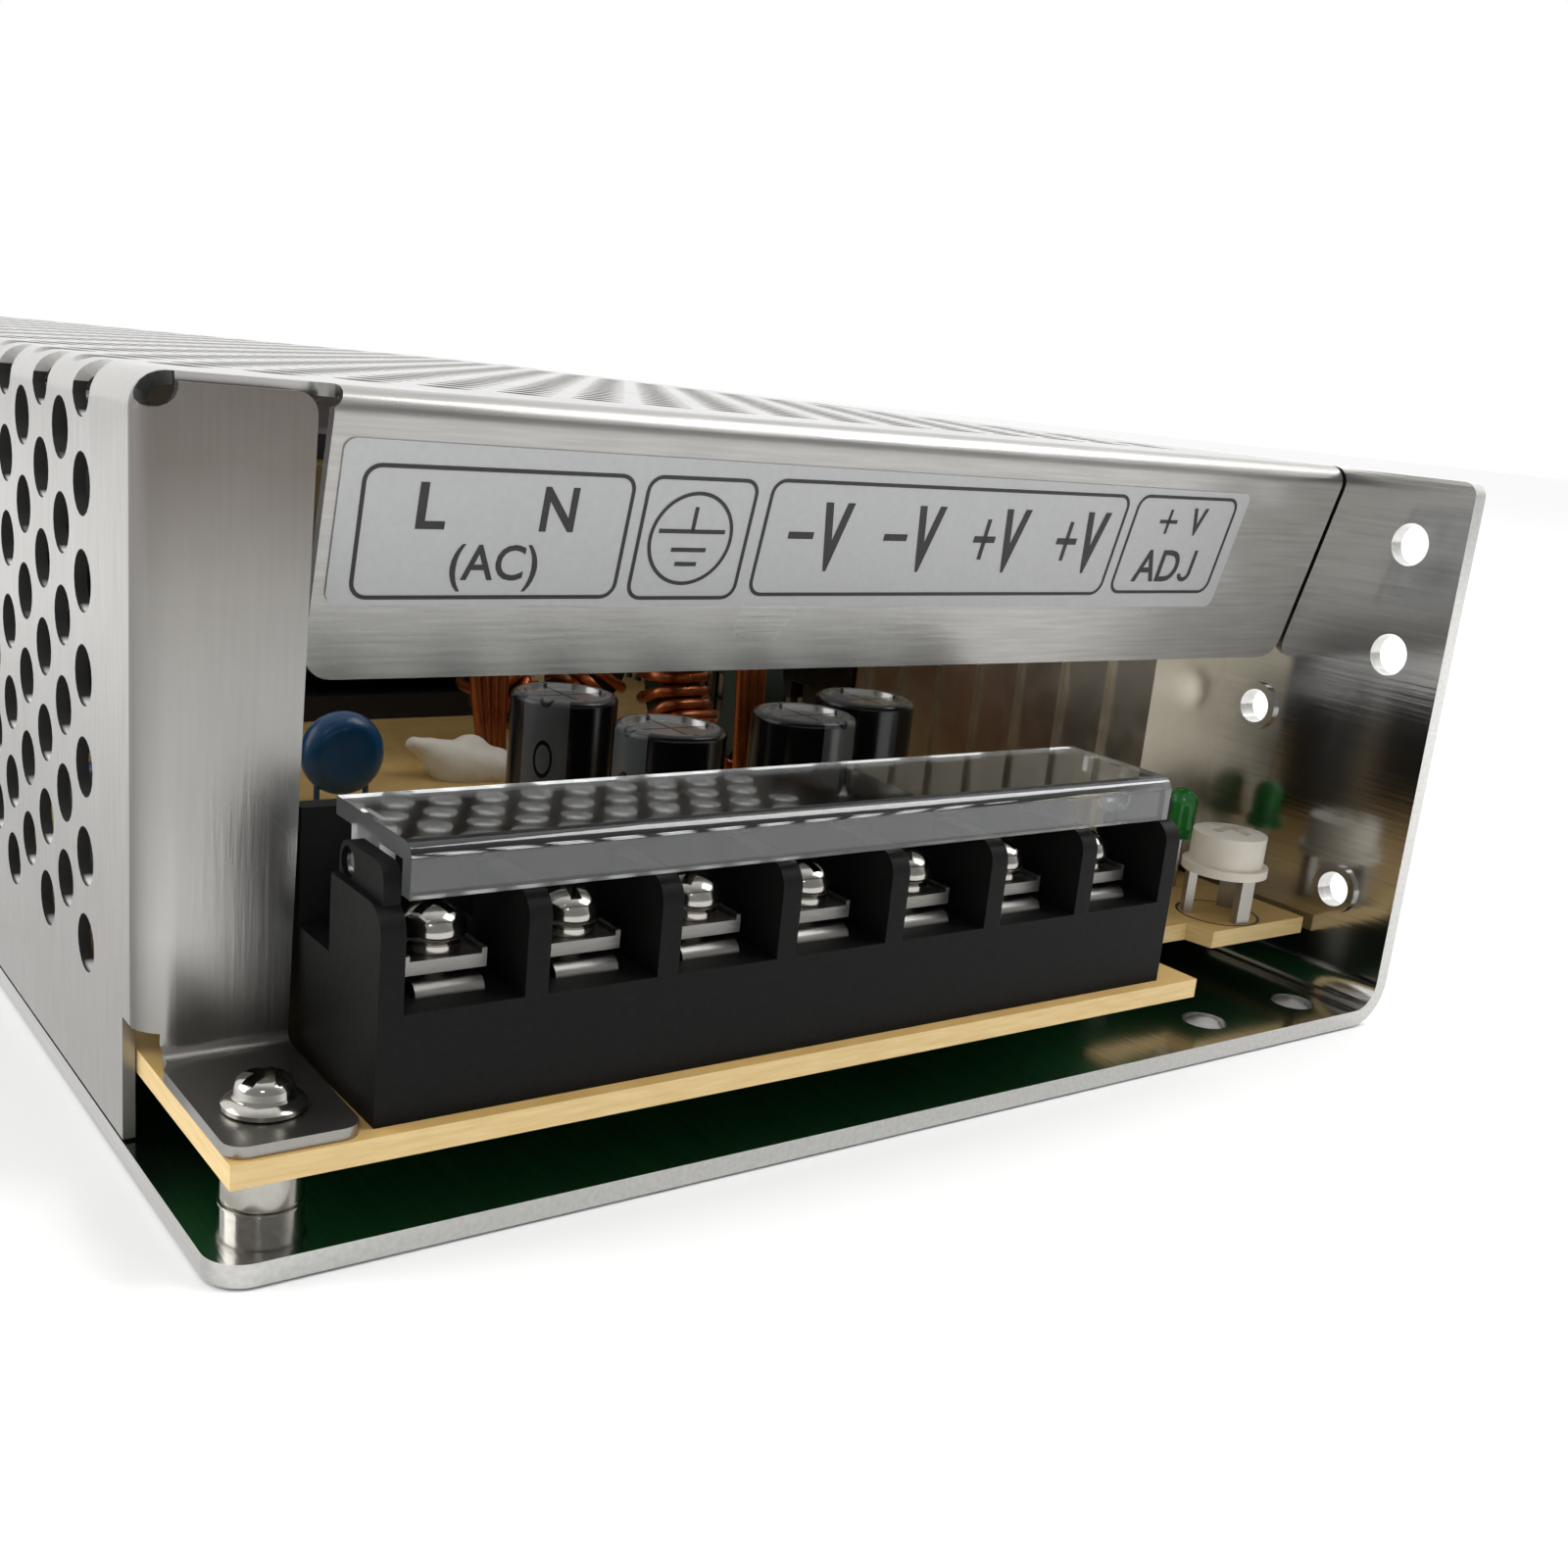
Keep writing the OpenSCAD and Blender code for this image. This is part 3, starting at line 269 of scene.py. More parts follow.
FLOOR_TOP, BOARD_UNDER, BOARD_TOP = 1.5, 6.2, 7.8
SPACERS = ((4.6, 5.3), (90.0, 18.5), (5.5, CASE_L - 9.0), (CASE_W - 11.0, CASE_L - 9.0))
SPACER_R = 2.5
FOOT_TAB_T = 0.8
BOARD_SCREW_LOW, BOARD_SCREW_R, BOARD_SCREW_TURN = 2.5, 1.5, 0.6
BOARD_RECESS = (3.0, 0.85, 1.1)
collar, groove = SPACER_R + 0.14, SPACER_R - 0.08
shoulder = FLOOR_TOP + 1.3
profile = [(0.0, FLOOR_TOP), (SPACER_R, FLOOR_TOP), (SPACER_R, shoulder - 0.25), (collar, shoulder - 0.15)]
profile += [(collar, shoulder), (groove, shoulder + 0.06), (groove, shoulder + 0.14)]
profile += [(SPACER_R, shoulder + 0.2), (SPACER_R, BOARD_UNDER - 0.15), (SPACER_R - 0.15, BOARD_UNDER)]
profile += [(0.0, BOARD_UNDER)]
turned_mesh = as_mesh("turned_spacer", lathed(profile))
spacers = bmesh.new()
heads = bmesh.new()
washer_head = [(2.35, 0.0), (2.5, 0.12), (2.5, 0.4), (2.3, 0.62), (1.9, 0.78), (1.8, 1.0), (1.78, 1.4)]
washer_head += [(1.6, 1.8), (1.2, 2.05), (0.6, 2.15), (0.0, 2.18)]
for index, (x, y) in enumerate(SPACERS):
    seat = BOARD_TOP + (FOOT_TAB_T if index == 0 else 0.0)
    head = [(radius, seat + height) for radius, height in washer_head]
    screw_mesh = pan_screw(BOARD_SCREW_LOW, BOARD_SCREW_R, head, *BOARD_RECESS)
    for shape, mesh in ((spacers, turned_mesh), (heads, screw_mesh)):
        before = len(shape.verts)
        shape.from_mesh(mesh)
        shape.verts.ensure_lookup_table()
        turn = Matrix.Rotation(BOARD_SCREW_TURN * index, 4, "Z")
        bmesh.ops.transform(shape, matrix=Matrix.Translation((x, y, 0)) @ turn, verts=shape.verts[before:])
spacer_set = new_piece("turned_spacers", spacers)
head_set = new_piece("board_pan_screws", heads)
for piece, node in ((spacer_set, "board_standoffs"), (head_set, "board_screws")):
    smooth(piece.data, 40)
    piece.data.materials.append(plated)
    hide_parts(node)

# Contacts and clamps: tinned brass strip, punched and bent. The contacts are soldered into the board,
# and each clamp plate is caught under its own terminal screw.
TERMINALS = 7
# Old tin plate: dull grey metal with short fine scratches, where wires have rubbed it.
tinned_strip, tree, shader, place = new_material("dull_tinned_strip", Metallic=1.0)
rubbing = (1 / (2 * MM), 1 / (0.25 * MM), 1 / (0.25 * MM))
rubbed = add_node(tree, "Mapping", {"Vector": place, "Scale": rubbing})
scratch = add_node(tree, "TexNoise", {"Vector": rubbed, "Scale": 1.0, "Detail": 4.0})
blur = add_node(tree, "MapRange", {"Value": scratch, "To Min": 0.22, "To Max": 0.5})
tree.links.new(blur, shader.inputs["Roughness"])
tone = {"Factor": scratch, 6: linear("#6E6C69"), 7: linear("#A3A19C")}
tone = add_node(tree, "Mix", tone, data_type="RGBA", out=2)
tree.links.new(tone, shader.inputs["Base Color"])
paint(tinned_strip, *(f"clamp_plate_{index + 1}" for index in range(TERMINALS)))
paint(tinned_strip, "terminal_contacts", "fuse_clips")

# Circuit board: one sheet of paper laminate, sawn to a stepped front edge, lacquered green underneath
# and screwed down on the spacers. A ring is printed around the trimmer.
# Paper laminate: matt tan with small specks, paler and fibrous along its sawn edges.
laminate, tree, shader, place = new_material("tan_paper_laminate", Roughness=0.55)
fibre = (1 / (3.33 * MM), 1 / (3.33 * MM), 1 / (0.333 * MM))
fibre = add_node(tree, "Mapping", {"Vector": place, "Scale": fibre})
strands = add_node(tree, "TexNoise", {"Vector": fibre, "Scale": 1.0, "Detail": 4.0})
speck = add_node(tree, "TexNoise", {"Vector": place, "Scale": 1 / (2.86 * MM), "Detail": 3.0})
tan = {"Factor": speck, 6: linear("#B28D4E"), 7: linear("#CFAE6E")}
tan = add_node(tree, "Mix", tan, data_type="RGBA", out=2)
sawn = {"Factor": strands, 6: linear("#C9A767"), 7: linear("#E6CD98")}
sawn = add_node(tree, "Mix", sawn, data_type="RGBA", out=2)
facing = add_node(tree, "NewGeometry", out="Normal")
up_down = add_node(tree, "SeparateXYZ", {"Vector": facing}, out="Z")
flat = add_node(tree, "Math", {0: up_down}, operation="ABSOLUTE")
on_flat = add_node(tree, "Math", {0: flat, 1: 0.5}, operation="GREATER_THAN")
under = add_node(tree, "Math", {0: up_down, 1: -0.5}, operation="LESS_THAN")
faces = add_node(tree, "Mix", {"Factor": on_flat, 6: sawn, 7: tan}, data_type="RGBA", out=2)
lacquer = {"Factor": under, 6: faces, 7: linear("#1F6E38")}
lacquer = add_node(tree, "Mix", lacquer, data_type="RGBA", out=2)
tree.links.new(lacquer, shader.inputs["Base Color"])
bump = add_node(tree, "Bump", {"Height": strands, "Strength": 0.25, "Distance": 0.2 * MM})
tree.links.new(bump, shader.inputs["Normal"])
paint(laminate, "circuit_board")

# Screen-printed ink: satin black, a little uneven where it lies thin.
ink, tree, shader, place = new_material("black_print", Roughness=0.5)
two_tones(tree, shader, place, 0.667, 2.0, "#0E0E0E", "#262524")
TRIMMER_X, TRIMMER_Y = 99.7, 12.6
RING_R, RING_LINE, INK_RISE = 3.7, 0.25, 0.02


def ring_mark(x, y, z, radius, line):
    """A flat printed ring of a line's width outside a radius."""
    shape = bmesh.new()
    spot = Matrix.Translation((x, y, z))
    for reach in (radius, radius + line):
        bmesh.ops.create_circle(shape, segments=64, radius=reach, matrix=spot)
    bmesh.ops.bridge_loops(shape, edges=shape.edges[:])
    return shape


ring = ring_mark(TRIMMER_X, TRIMMER_Y, BOARD_TOP + INK_RISE, RING_R, RING_LINE)
trimmer_print = new_piece("trimmer_print", ring)
trimmer_print.data.materials.append(ink)

# Terminal block: one moulding of glass-filled nylon with seven pockets, the walls between them and an ear
# for the flap at each end. It stands on the board, held by its soldered contacts.
# Black nylon from a spark-eroded mould: nearly matt, with a texture as fine as sand.
nylon, tree, shader, place = new_material("black_moulded_nylon", Roughness=0.5, Specular_IOR_Level=0.1)
sand = two_tones(tree, shader, place, 0.455, 3.0, "#0B0B0B", "#141413")
bump = add_node(tree, "Bump", {"Height": sand, "Strength": 0.2, "Distance": 0.1 * MM})
tree.links.new(bump, shader.inputs["Normal"])
paint(nylon, "terminal_block")

# Terminal screws: cold-headed steel with a round pan head and a crossed recess, on a spring washer,
# bright nickel plated like the board screws. Each turns in its own clamp plate.
TERMINAL_PITCH = 9.6
FIRST_TERMINAL = 15.4
SCREW_Y = 6.6
TERMINAL_TURN = 0.9
CLAMP_TOP, HEAD_BOTTOM, HEAD_H, HEAD_R, WASHER_R = 16.9, 17.5, 2.3, 2.2, 1.85
TERMINAL_SCREW_R = 1.4
TERMINAL_RECESS = (3.1, 0.75, 1.0)
screw_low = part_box("terminal_screw_1")[0][2] / MM
head = [(WASHER_R, CLAMP_TOP + 0.05), (WASHER_R, HEAD_BOTTOM - 0.08), (WASHER_R - 0.15, HEAD_BOTTOM)]
for step in range(-3, 11):
    angle = math.radians(step * 9)
    swell, flat_top = (0.7, 0.75) if step > 0 else (0.43, 1.0)
    spread = max(math.cos(angle), 0.0) ** flat_top
    head.append((HEAD_R * spread, HEAD_BOTTOM + HEAD_H * (0.3 + swell * math.sin(angle))))
screw_mesh = pan_screw(screw_low, TERMINAL_SCREW_R, head, *TERMINAL_RECESS)
for index in range(TERMINALS):
    shape = bmesh.new()
    shape.from_mesh(screw_mesh)
    spot = Matrix.Translation((FIRST_TERMINAL + TERMINAL_PITCH * index, SCREW_Y, 0))
    turn = Matrix.Rotation(TERMINAL_TURN * index, 4, "Z")
    bmesh.ops.transform(shape, matrix=spot @ turn, verts=shape.verts)
    screw = new_piece(f"pan_screw_{index + 1}", shape, f"screw_{index + 1}")
    smooth(screw.data, 40)
    screw.data.materials.append(plated)
    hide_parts(f"terminal_screw_{index + 1}")

# Flap: one clear polycarbonate moulding that swings over the terminals on two black pins in the
# block's ears. Its faces come polished from the mould, and its ends are sawn.
FLAP_MIDDLE, FLAP_HALF = 44.2, 32.6
# Clear polycarbonate: glassy, with slow waves from the moulding and a frost on the sawn ends.
clear, tree, shader, place = new_material("clear_polycarbonate", Transmission_Weight=1.0, IOR=1.585)
flow = add_node(tree, "TexNoise", {"Vector": place, "Scale": 1 / (8.33 * MM), "Detail": 1.0})
facing = add_node(tree, "NewGeometry", out="Normal")
endways = add_node(tree, "SeparateXYZ", {"Vector": facing}, out="X")
endways = add_node(tree, "Math", {0: endways}, operation="ABSOLUTE")
sideways = add_node(tree, "SeparateXYZ", {"Vector": place}, out="X")
plate = {0: sideways, 1: at(FLAP_MIDDLE, 0, 0).x, 2: (FLAP_HALF + 0.1) * MM}
plate = add_node(tree, "Math", plate, operation="COMPARE")
sawn_end = add_node(tree, "Math", {0: endways, 1: plate}, operation="MULTIPLY")
frosted = add_node(tree, "MapRange", {"Value": sawn_end, "From Min": 0.8, "To Min": 0.03, "To Max": 0.5})
tree.links.new(frosted, shader.inputs["Roughness"])
bump = add_node(tree, "Bump", {"Height": flow, "Strength": 0.03, "Distance": 0.4 * MM})
tree.links.new(bump, shader.inputs["Normal"])
tint = {"Factor": plate, 6: linear("#1C1C1C"), 7: linear("#F2F5F4")}
tint = add_node(tree, "Mix", tint, data_type="RGBA", out=2)
tree.links.new(tint, shader.inputs["Base Color"])
paint(clear, "terminal_flap")

# Trimmer and lamp: a moulded acetal knob in a flange on tinned legs, and a lamp cast in green epoxy
# on tinned leads. Both are soldered into the board's right front corner.
LEG_TOP, LEAD_TOP = 12.05, 13.1
# White acetal: milky and a little waxy, so light goes some way into it.
ACETAL = {"Roughness": 0.4, "Subsurface_Weight": 0.25, "Subsurface_Radius": (2 * MM, 1.5 * MM, 1 * MM)}
# Diffused green epoxy: glossy outside and cloudy inside, so the lens looks filled with colour.
EPOXY = {"Roughness": 0.2, "Transmission_Weight": 0.35, "IOR": 1.5}
for name, looks, patch, dark, pale, wire_top, nodes in (
    ("white_acetal", ACETAL, 2, "#CFC8B9", "#DED8CB", LEG_TOP, ("trimmer_knob", "trimmer_base")),
    ("green_diffused_epoxy", EPOXY, 1.43, "#177A2C", "#2FA043", LEAD_TOP, ("status_lamp",)),
):
    plastic, tree, shader, place = new_material(name, **looks)
    cloud = add_node(tree, "TexNoise", {"Vector": place, "Scale": 1 / (patch * MM), "Detail": 2.0})
    tone = {"Factor": cloud, 6: linear(dark), 7: linear(pale)}
    tone = add_node(tree, "Mix", tone, data_type="RGBA", out=2)
    wire = add_node(tree, "SeparateXYZ", {"Vector": place}, out="Z")
    wire = add_node(tree, "Math", {0: wire, 1: wire_top * MM}, operation="LESS_THAN")
    tinned = {"Factor": wire, 6: tone, 7: linear("#A9A69F")}
    tinned = add_node(tree, "Mix", tinned, data_type="RGBA", out=2)
    tree.links.new(tinned, shader.inputs["Base Color"])
    tree.links.new(wire, shader.inputs["Metallic"])
    paint(plastic, *nodes)

# Electrolytic capacitors: drawn aluminium cans in a shrunk black sleeve with a printed minus stripe,
# soldered upright in the board. The bare can shows on top, scored with a crossed vent.
OUTPUT_CANS = ((49, 51, 221), (51.5, 36.5, 189), (68, 39, 282), (79.8, 44.5, 60))
OUTPUT_CAN_R, OUTPUT_CAN_H = 5.0, 15
BULK_CAN_X, BULK_CAN_Y, BULK_CAN_R, BULK_CAN_H = 17, 112, 11.0, 36
LID_SHARE, RIM_DEPTH = 0.87, 1.0
MARK_TOP, MARK_BOTTOM = -2.2, -8.8
STRIPE_COSINE, OVAL_R, OVAL_LINE = 0.9, 0.95, 0.13
VENT_LINE = 0.2


def capacitor_sleeve(name, x, y, radius, top, stripe_degrees):
    """Sleeve, stripe with oval minus marks, and bare top of a can standing at x, y."""
    # Shrink sleeve: glossy black film with a grey stripe on it, around a clean bright metal top.
    material, tree, shader, place = new_material(name)
    local = add_node(tree, "Mapping", {"Vector": place, "Location": -at(x, y, top)})
    axes = add_node(tree, "SeparateXYZ", {"Vector": local}).node.outputs
    level = add_node(tree, "CombineXYZ", {"X": axes["X"], "Y": axes["Y"]})
    far = add_node(tree, "VectorMath", {0: level}, operation="LENGTH", out="Value")
    inside = add_node(tree, "Math", {0: far, 1: radius * LID_SHARE * MM}, operation="LESS_THAN")
    high = add_node(tree, "Math", {0: axes["Z"], 1: -RIM_DEPTH * MM}, operation="GREATER_THAN")
    bare = add_node(tree, "Math", {0: inside, 1: high}, operation="MULTIPLY")
    heading = math.radians(stripe_degrees)
    toward = (math.cos(heading), math.sin(heading), 0.0)
    mark_half = 0.17 * radius * MM
    beside = (-math.sin(heading) / mark_half, math.cos(heading) / mark_half, 0.0)
    outward = add_node(tree, "VectorMath", {0: level}, operation="NORMALIZE")
    cosine = add_node(tree, "VectorMath", {0: outward, 1: toward}, out="Value", operation="DOT_PRODUCT")
    stripe = add_node(tree, "Math", {0: cosine, 1: STRIPE_COSINE}, operation="GREATER_THAN")
    across = add_node(tree, "VectorMath", {0: level, 1: beside}, out="Value", operation="DOT_PRODUCT")
    repeat = {0: axes["Z"], 1: MARK_TOP * MM, 2: MARK_BOTTOM * MM}
    along = add_node(tree, "Math", repeat, operation="WRAP")
    scaled = {"Value": along, "From Min": MARK_BOTTOM * MM, "From Max": MARK_TOP * MM}
    along = add_node(tree, "MapRange", {**scaled, "To Min": -2.0, "To Max": 2.0})
    oval = add_node(tree, "CombineXYZ", {"X": across, "Y": along})
    oval = add_node(tree, "VectorMath", {0: oval}, operation="LENGTH", out="Value")
    mark = add_node(tree, "Math", {0: oval, 1: OVAL_R, 2: OVAL_LINE}, operation="COMPARE")
    speck = add_node(tree, "TexNoise", {"Vector": place, "Scale": 1 / (1.67 * MM), "Detail": 2.0})
    sleeve = {"Factor": speck, 6: linear("#0A0A0B"), 7: linear("#141416")}
    sleeve = add_node(tree, "Mix", sleeve, data_type="RGBA", out=2)
    printed = {"Factor": mark, 6: linear("#5A5F62"), 7: linear("#0E0E10")}
    printed = add_node(tree, "Mix", printed, data_type="RGBA", out=2)
    banded = add_node(tree, "Mix", {"Factor": stripe, 6: sleeve, 7: printed}, data_type="RGBA", out=2)
    # The vent's score lines are painted dark on the bare top, as painted shade in their grooves.
    score_x, score_y = (
        add_node(tree, "Math", {0: axes[way], 1: 0.0, 2: VENT_LINE * MM}, operation="COMPARE")
        for way in ("X", "Y")
    )
    painted_vent_shade = add_node(tree, "Math", {0: score_x, 1: score_y}, operation="MAXIMUM")
    can = {"Factor": painted_vent_shade, 6: linear("#C9C9C8"), 7: linear("#5C5C5B")}
    can = add_node(tree, "Mix", can, data_type="RGBA", out=2)
    coat = add_node(tree, "Mix", {"Factor": bare, 6: banded, 7: can}, data_type="RGBA", out=2)
    tree.links.new(coat, shader.inputs["Base Color"])
    tree.links.new(bare, shader.inputs["Metallic"])
    shine = add_node(tree, "MapRange", {"Value": speck, "To Min": 0.14, "To Max": 0.26})
    tree.links.new(shine, shader.inputs["Roughness"])
    return material


top = BOARD_TOP + OUTPUT_CAN_H
for index, (x, y, heading) in enumerate(OUTPUT_CANS, start=1):
    sleeve = capacitor_sleeve(f"output_capacitor_sleeve_{index}", x, y, OUTPUT_CAN_R, top, heading)
    paint(sleeve, f"output_capacitor_{index}")
top = BOARD_TOP + BULK_CAN_H
bulk_sleeve = capacitor_sleeve("bulk_capacitor_sleeve", BULK_CAN_X, BULK_CAN_Y, BULK_CAN_R, top, 0)
paint(bulk_sleeve, "bulk_capacitors")

# Dipped discs: ceramic or oxide discs on two leads, dipped in epoxy powder and baked, then soldered
# upright. The varistor and the safety capacitors are blue, the thermistor dark green.
for name, dark, pale, nodes in (
    ("blue_dipped_epoxy", "#07385F", "#0B5688", ("varistor", "safety_capacitors")),
    ("green_dipped_epoxy", "#16231A", "#22352A", ("thermistor",)),
):
    # Baked epoxy: a smooth shine with slow sags in it, which bend the highlights.
    dip, tree, shader, place = new_material(name, Roughness=0.28, Coat_Weight=0.2)
    sag = two_tones(tree, shader, place, 4, 2.0, dark, pale)
    bump = add_node(tree, "Bump", {"Height": sag, "Strength": 0.1, "Distance": 0.3 * MM})
    tree.links.new(bump, shader.inputs["Normal"])
    paint(dip, *nodes)

# Silicone bead: off-white sealant, squeezed on by hand at the foot of the choke, where it set in soft
# lumps with a pulled-off tip. It glues the winding to the board.
BEAD_VOXEL = 0.35
BEAD_LUMPS = (
    (52.4, 78.0, 1.0, 3.8), (55.4, 77.2, 0.8, 3.1), (50.2, 78.4, 2.0, 2.6), (48.6, 78.6, 3.0, 1.7),
    (46.9, 78.7, 3.6, 1.15), (53.6, 79.0, 2.6, 2.2), (57.0, 77.0, 0.4, 2.2),
)
# Cured silicone: soft satin white that glows a little where it is thin.
silicone, tree, shader, place = new_material(
    "white_silicone", Roughness=0.5, Subsurface_Weight=0.3, Subsurface_Radius=(2 * MM, 1.6 * MM, 1 * MM)
)
lumps = two_tones(tree, shader, place, 3.33, 3.0, "#DAD3C2", "#F3EEE2")
bump = add_node(tree, "Bump", {"Height": lumps, "Strength": 0.4, "Distance": 0.6 * MM})
tree.links.new(bump, shader.inputs["Normal"])
bead = bmesh.new()
for x, y, z, radius in BEAD_LUMPS:
    spot = Matrix.Translation((x, y, BOARD_TOP + z)) @ Matrix.Diagonal((1.0, 0.9, 0.8, 1.0))
    bmesh.ops.create_icosphere(bead, subdivisions=3, radius=radius, matrix=spot)
glue = new_piece("silicone_bead", bead)
remesh = glue.modifiers.new("one_skin", "REMESH")
remesh.mode = "VOXEL"
remesh.voxel_size = BEAD_VOXEL * MM
soften = glue.modifiers.new("soften", "SMOOTH")
soften.iterations = 12
glue_mesh = finished_mesh(glue)
glue.modifiers.clear()
trimmed = bmesh.new()
trimmed.from_mesh(glue_mesh)
everything = trimmed.verts[:] + trimmed.edges[:] + trimmed.faces[:]
foot = (0, 0, BOARD_TOP * MM)
cut = bmesh.ops.bisect_plane(trimmed, geom=everything, plane_co=foot, plane_no=(0, 0, -1), clear_outer=True)
bmesh.ops.holes_fill(trimmed, edges=[e for e in cut["geom_cut"] if isinstance(e, bmesh.types.BMEdge)])
trimmed.to_mesh(glue.data)
trimmed.free()
smooth(glue.data, 60)
glue.data.materials.append(silicone)
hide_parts("glue_blob")

# Ring chokes: thick enamelled copper wire, wound by hand on a ferrite ring and on a painted powder ring.
# They stand on edge, and their wire ends run down to the board.
WIRE_R = 0.72
RING_MEAN_R = 8.0
LOOP_HALF, LOOP_RISE = 2.75, 0.75
LOOP_POINTS = 16
# Enamelled copper: warm metal under a clear varnish, darker where it has aged.
copper, tree, shader, place = new_material("enamelled_copper", Metallic=0.85, Coat_Weight=0.4)
age = two_tones(tree, shader, place, 2.5, 3.0, "#8C4A22", "#C06A35")
blur = add_node(tree, "MapRange", {"Value": age, "To Min": 0.2, "To Max": 0.4})
tree.links.new(blur, shader.inputs["Roughness"])


def shape_of(curve):
    """A bmesh of a curve or a text, which is used up."""
    holder = bpy.data.objects.new(curve.name, curve)
    scene.collection.objects.link(holder)
    mesh = finished_mesh(holder)
    shape = bmesh.new()
    shape.from_mesh(mesh)
    bpy.data.objects.remove(holder)
    bpy.data.curves.remove(curve)
    bpy.data.meshes.remove(mesh)
    return shape


def ring_winding(name, centre, axis, ring_height, spans, tails, node):
    """Turns of thick wire around a ring, each a rounded loop, and the straight tails down to the board."""
    curve = bpy.data.curves.new(name, "CURVE")
    curve.dimensions = "3D"
    curve.bevel_depth = WIRE_R
    curve.bevel_resolution = 2
    up = Vector((0, 0, 1))
    side = axis.cross(up)
    for start, end, turns in spans:
        for turn in range(turns):
            angle = math.radians(start + (end - start) * turn / (turns - 1))
            ray = side * math.cos(angle) + up * math.sin(angle)
            loop = curve.splines.new("POLY")
            loop.points.add(LOOP_POINTS - 1)
            loop.use_cyclic_u = True
            for step, point in enumerate(loop.points):
                bearing = 2 * math.pi * (step + 0.5) / LOOP_POINTS
                dx, dy = math.cos(bearing), math.sin(bearing)
                out = math.copysign(abs(dx) ** 0.5, dx) * LOOP_HALF
                lift = math.copysign(abs(dy) ** 0.5, dy) * (ring_height / 2 + LOOP_RISE)
                point.co = (*(centre + ray * (RING_MEAN_R + out) + axis * lift), 1.0)
    for tail in tails:
        strand = curve.splines.new("POLY")
        strand.points.add(len(tail) - 1)
        for point, spot in zip(strand.points, tail):
            point.co = (*spot, 1.0)
    winding = new_piece(name, shape_of(curve))
    smooth(winding.data, 60)
    winding.data.materials.append(copper)
    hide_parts(node)


def wire_tails(count, stops):
    """Straight wire ends side by side; each stop is x, the step in x from wire to wire, y and z."""
    return [[(x + step * k, y, z) for x, step, y, z in stops] for k in range(count)]


turns = ((-62, 62, 9), (118, 242, 9))
tails = wire_tails(4, ((56.0, 1.15, 84.0, 27.0), (56.2, 1.1, 83.6, 17.0), (57.2, 0.6, 82.6, 8.0)))
axle = Vector((0, 1, 0))
ring_winding("choke_wire", Vector((67, 88, 20.8)), axle, 6.0, turns, tails, "choke_windings")
turns = ((98, 318, 14),)
tails = wire_tails(3, ((72.9, 1.15, 56.6, 26.5), (73.2, 1.0, 56.2, 16.0), (73.6, 0.8, 56.0, 8.0)))
axle = Vector((1, 0, 0))
ring_winding("filter_wire", Vector((76.5, 67, 19.5)), axle, 5.0, turns, tails, "filter_winding")

# Inner pieces: cores, heat sinks, moulded packages, taped windings, fuse and resistors, all soldered to the
# board or clamped to the metal. Their finishes are plain, so one loop gives each its own two tones.
# The line capacitor is coloured black epoxy as painted shade, for where it stands in shade behind the
# terminal block.
PACKAGES = (
    "output_rectifiers", "power_transistors", "bridge_rectifier", "control_chip", "optocoupler",
    "transformer_bobbin", "line_capacitor",
)
for name, dark, pale, rough, metal, nodes in (
    ("sintered_ferrite", "#1B1B1D", "#2A2A2C", 0.6, 0.0, ("choke_core", "transformer_core")),
    ("painted_powder_core", "#1C2A22", "#26382D", 0.5, 0.0, ("filter_core",)),
    ("extruded_aluminium", "#BFB7A6", "#D6CEBD", 0.32, 1.0, ("heat_sink", "heat_spreader")),
    ("black_epoxy", "#121213", "#1E1E20", 0.5, 0.0, PACKAGES),
    # The tape's tones are darkened partly as aged tape and partly as painted shade, where it shows in the
    # dark slot at the front.
    ("yellow_film_tape", "#5E480F", "#78601A", 0.3, 0.0, ("transformer_winding", "drive_transformer")),
    ("glazed_ceramic", "#C9BFA8", "#DDD6C4", 0.35, 0.0, ("fuse", "resistors")),
):
    # Each is even at a glance and slightly mottled close by, in colour and in shine.
    finish, tree, shader, place = new_material(name, Metallic=metal)
    mottle = two_tones(tree, shader, place, 2.22, 3.0, dark, pale)
    blur = add_node(tree, "MapRange", {"Value": mottle, "To Min": rough - 0.08, "To Max": rough + 0.08})
    tree.links.new(blur, shader.inputs["Roughness"])
    paint(finish, *nodes)

# Cover: one galvanised steel sheet, punched flat with its whole field of holes and then folded:
# side wall, front flange with its foot tab, rear wall, leaning front lip and two screw tabs.
SHEET = 0.8
BEND = 2.2
MIDDLE = BEND - SHEET / 2
WRAP = MIDDLE * math.pi / 2
LIP_BEND = 1.5
LIP_MIDDLE = LIP_BEND - SHEET / 2
LIP_LEAN = math.radians(14.5)
LIP_TURN = math.pi / 2 + LIP_LEAN
LIP_WRAP = LIP_MIDDLE * LIP_TURN
LIP_LENGTH = 17.2
LIP_LEFT, LIP_RIGHT, LIP_CORNER_R = 11.0, 108.2, 2.0
TAB_BEND = 0.8
TAB_MIDDLE = TAB_BEND + SHEET / 2
TAB_WRAP = TAB_MIDDLE * math.pi / 2
FLANGE_Y, FLANGE_W, TOP_RIGHT, SKIRT = 14.2, 8.1, 108.3, 1.7
CORNER_R = 1.3
NOTCH_X, NOTCH_Y, NOTCH_R = 0.8, 14.9, 1.3
RELIEF_X, RELIEF_Y, RELIEF_R = 10.65, 14.4, 1.05
REAR_LEFT = 1.0
SCREW_TABS = (88.0, CASE_L - 24.0)
SCREW_TAB_HALF, SCREW_TAB_LOW, TAB_RELIEF = 7.0, 38.0, 0.3
wall_zero = BEND - WRAP - (CASE_H - BEND)
rear_line = CASE_L - BEND
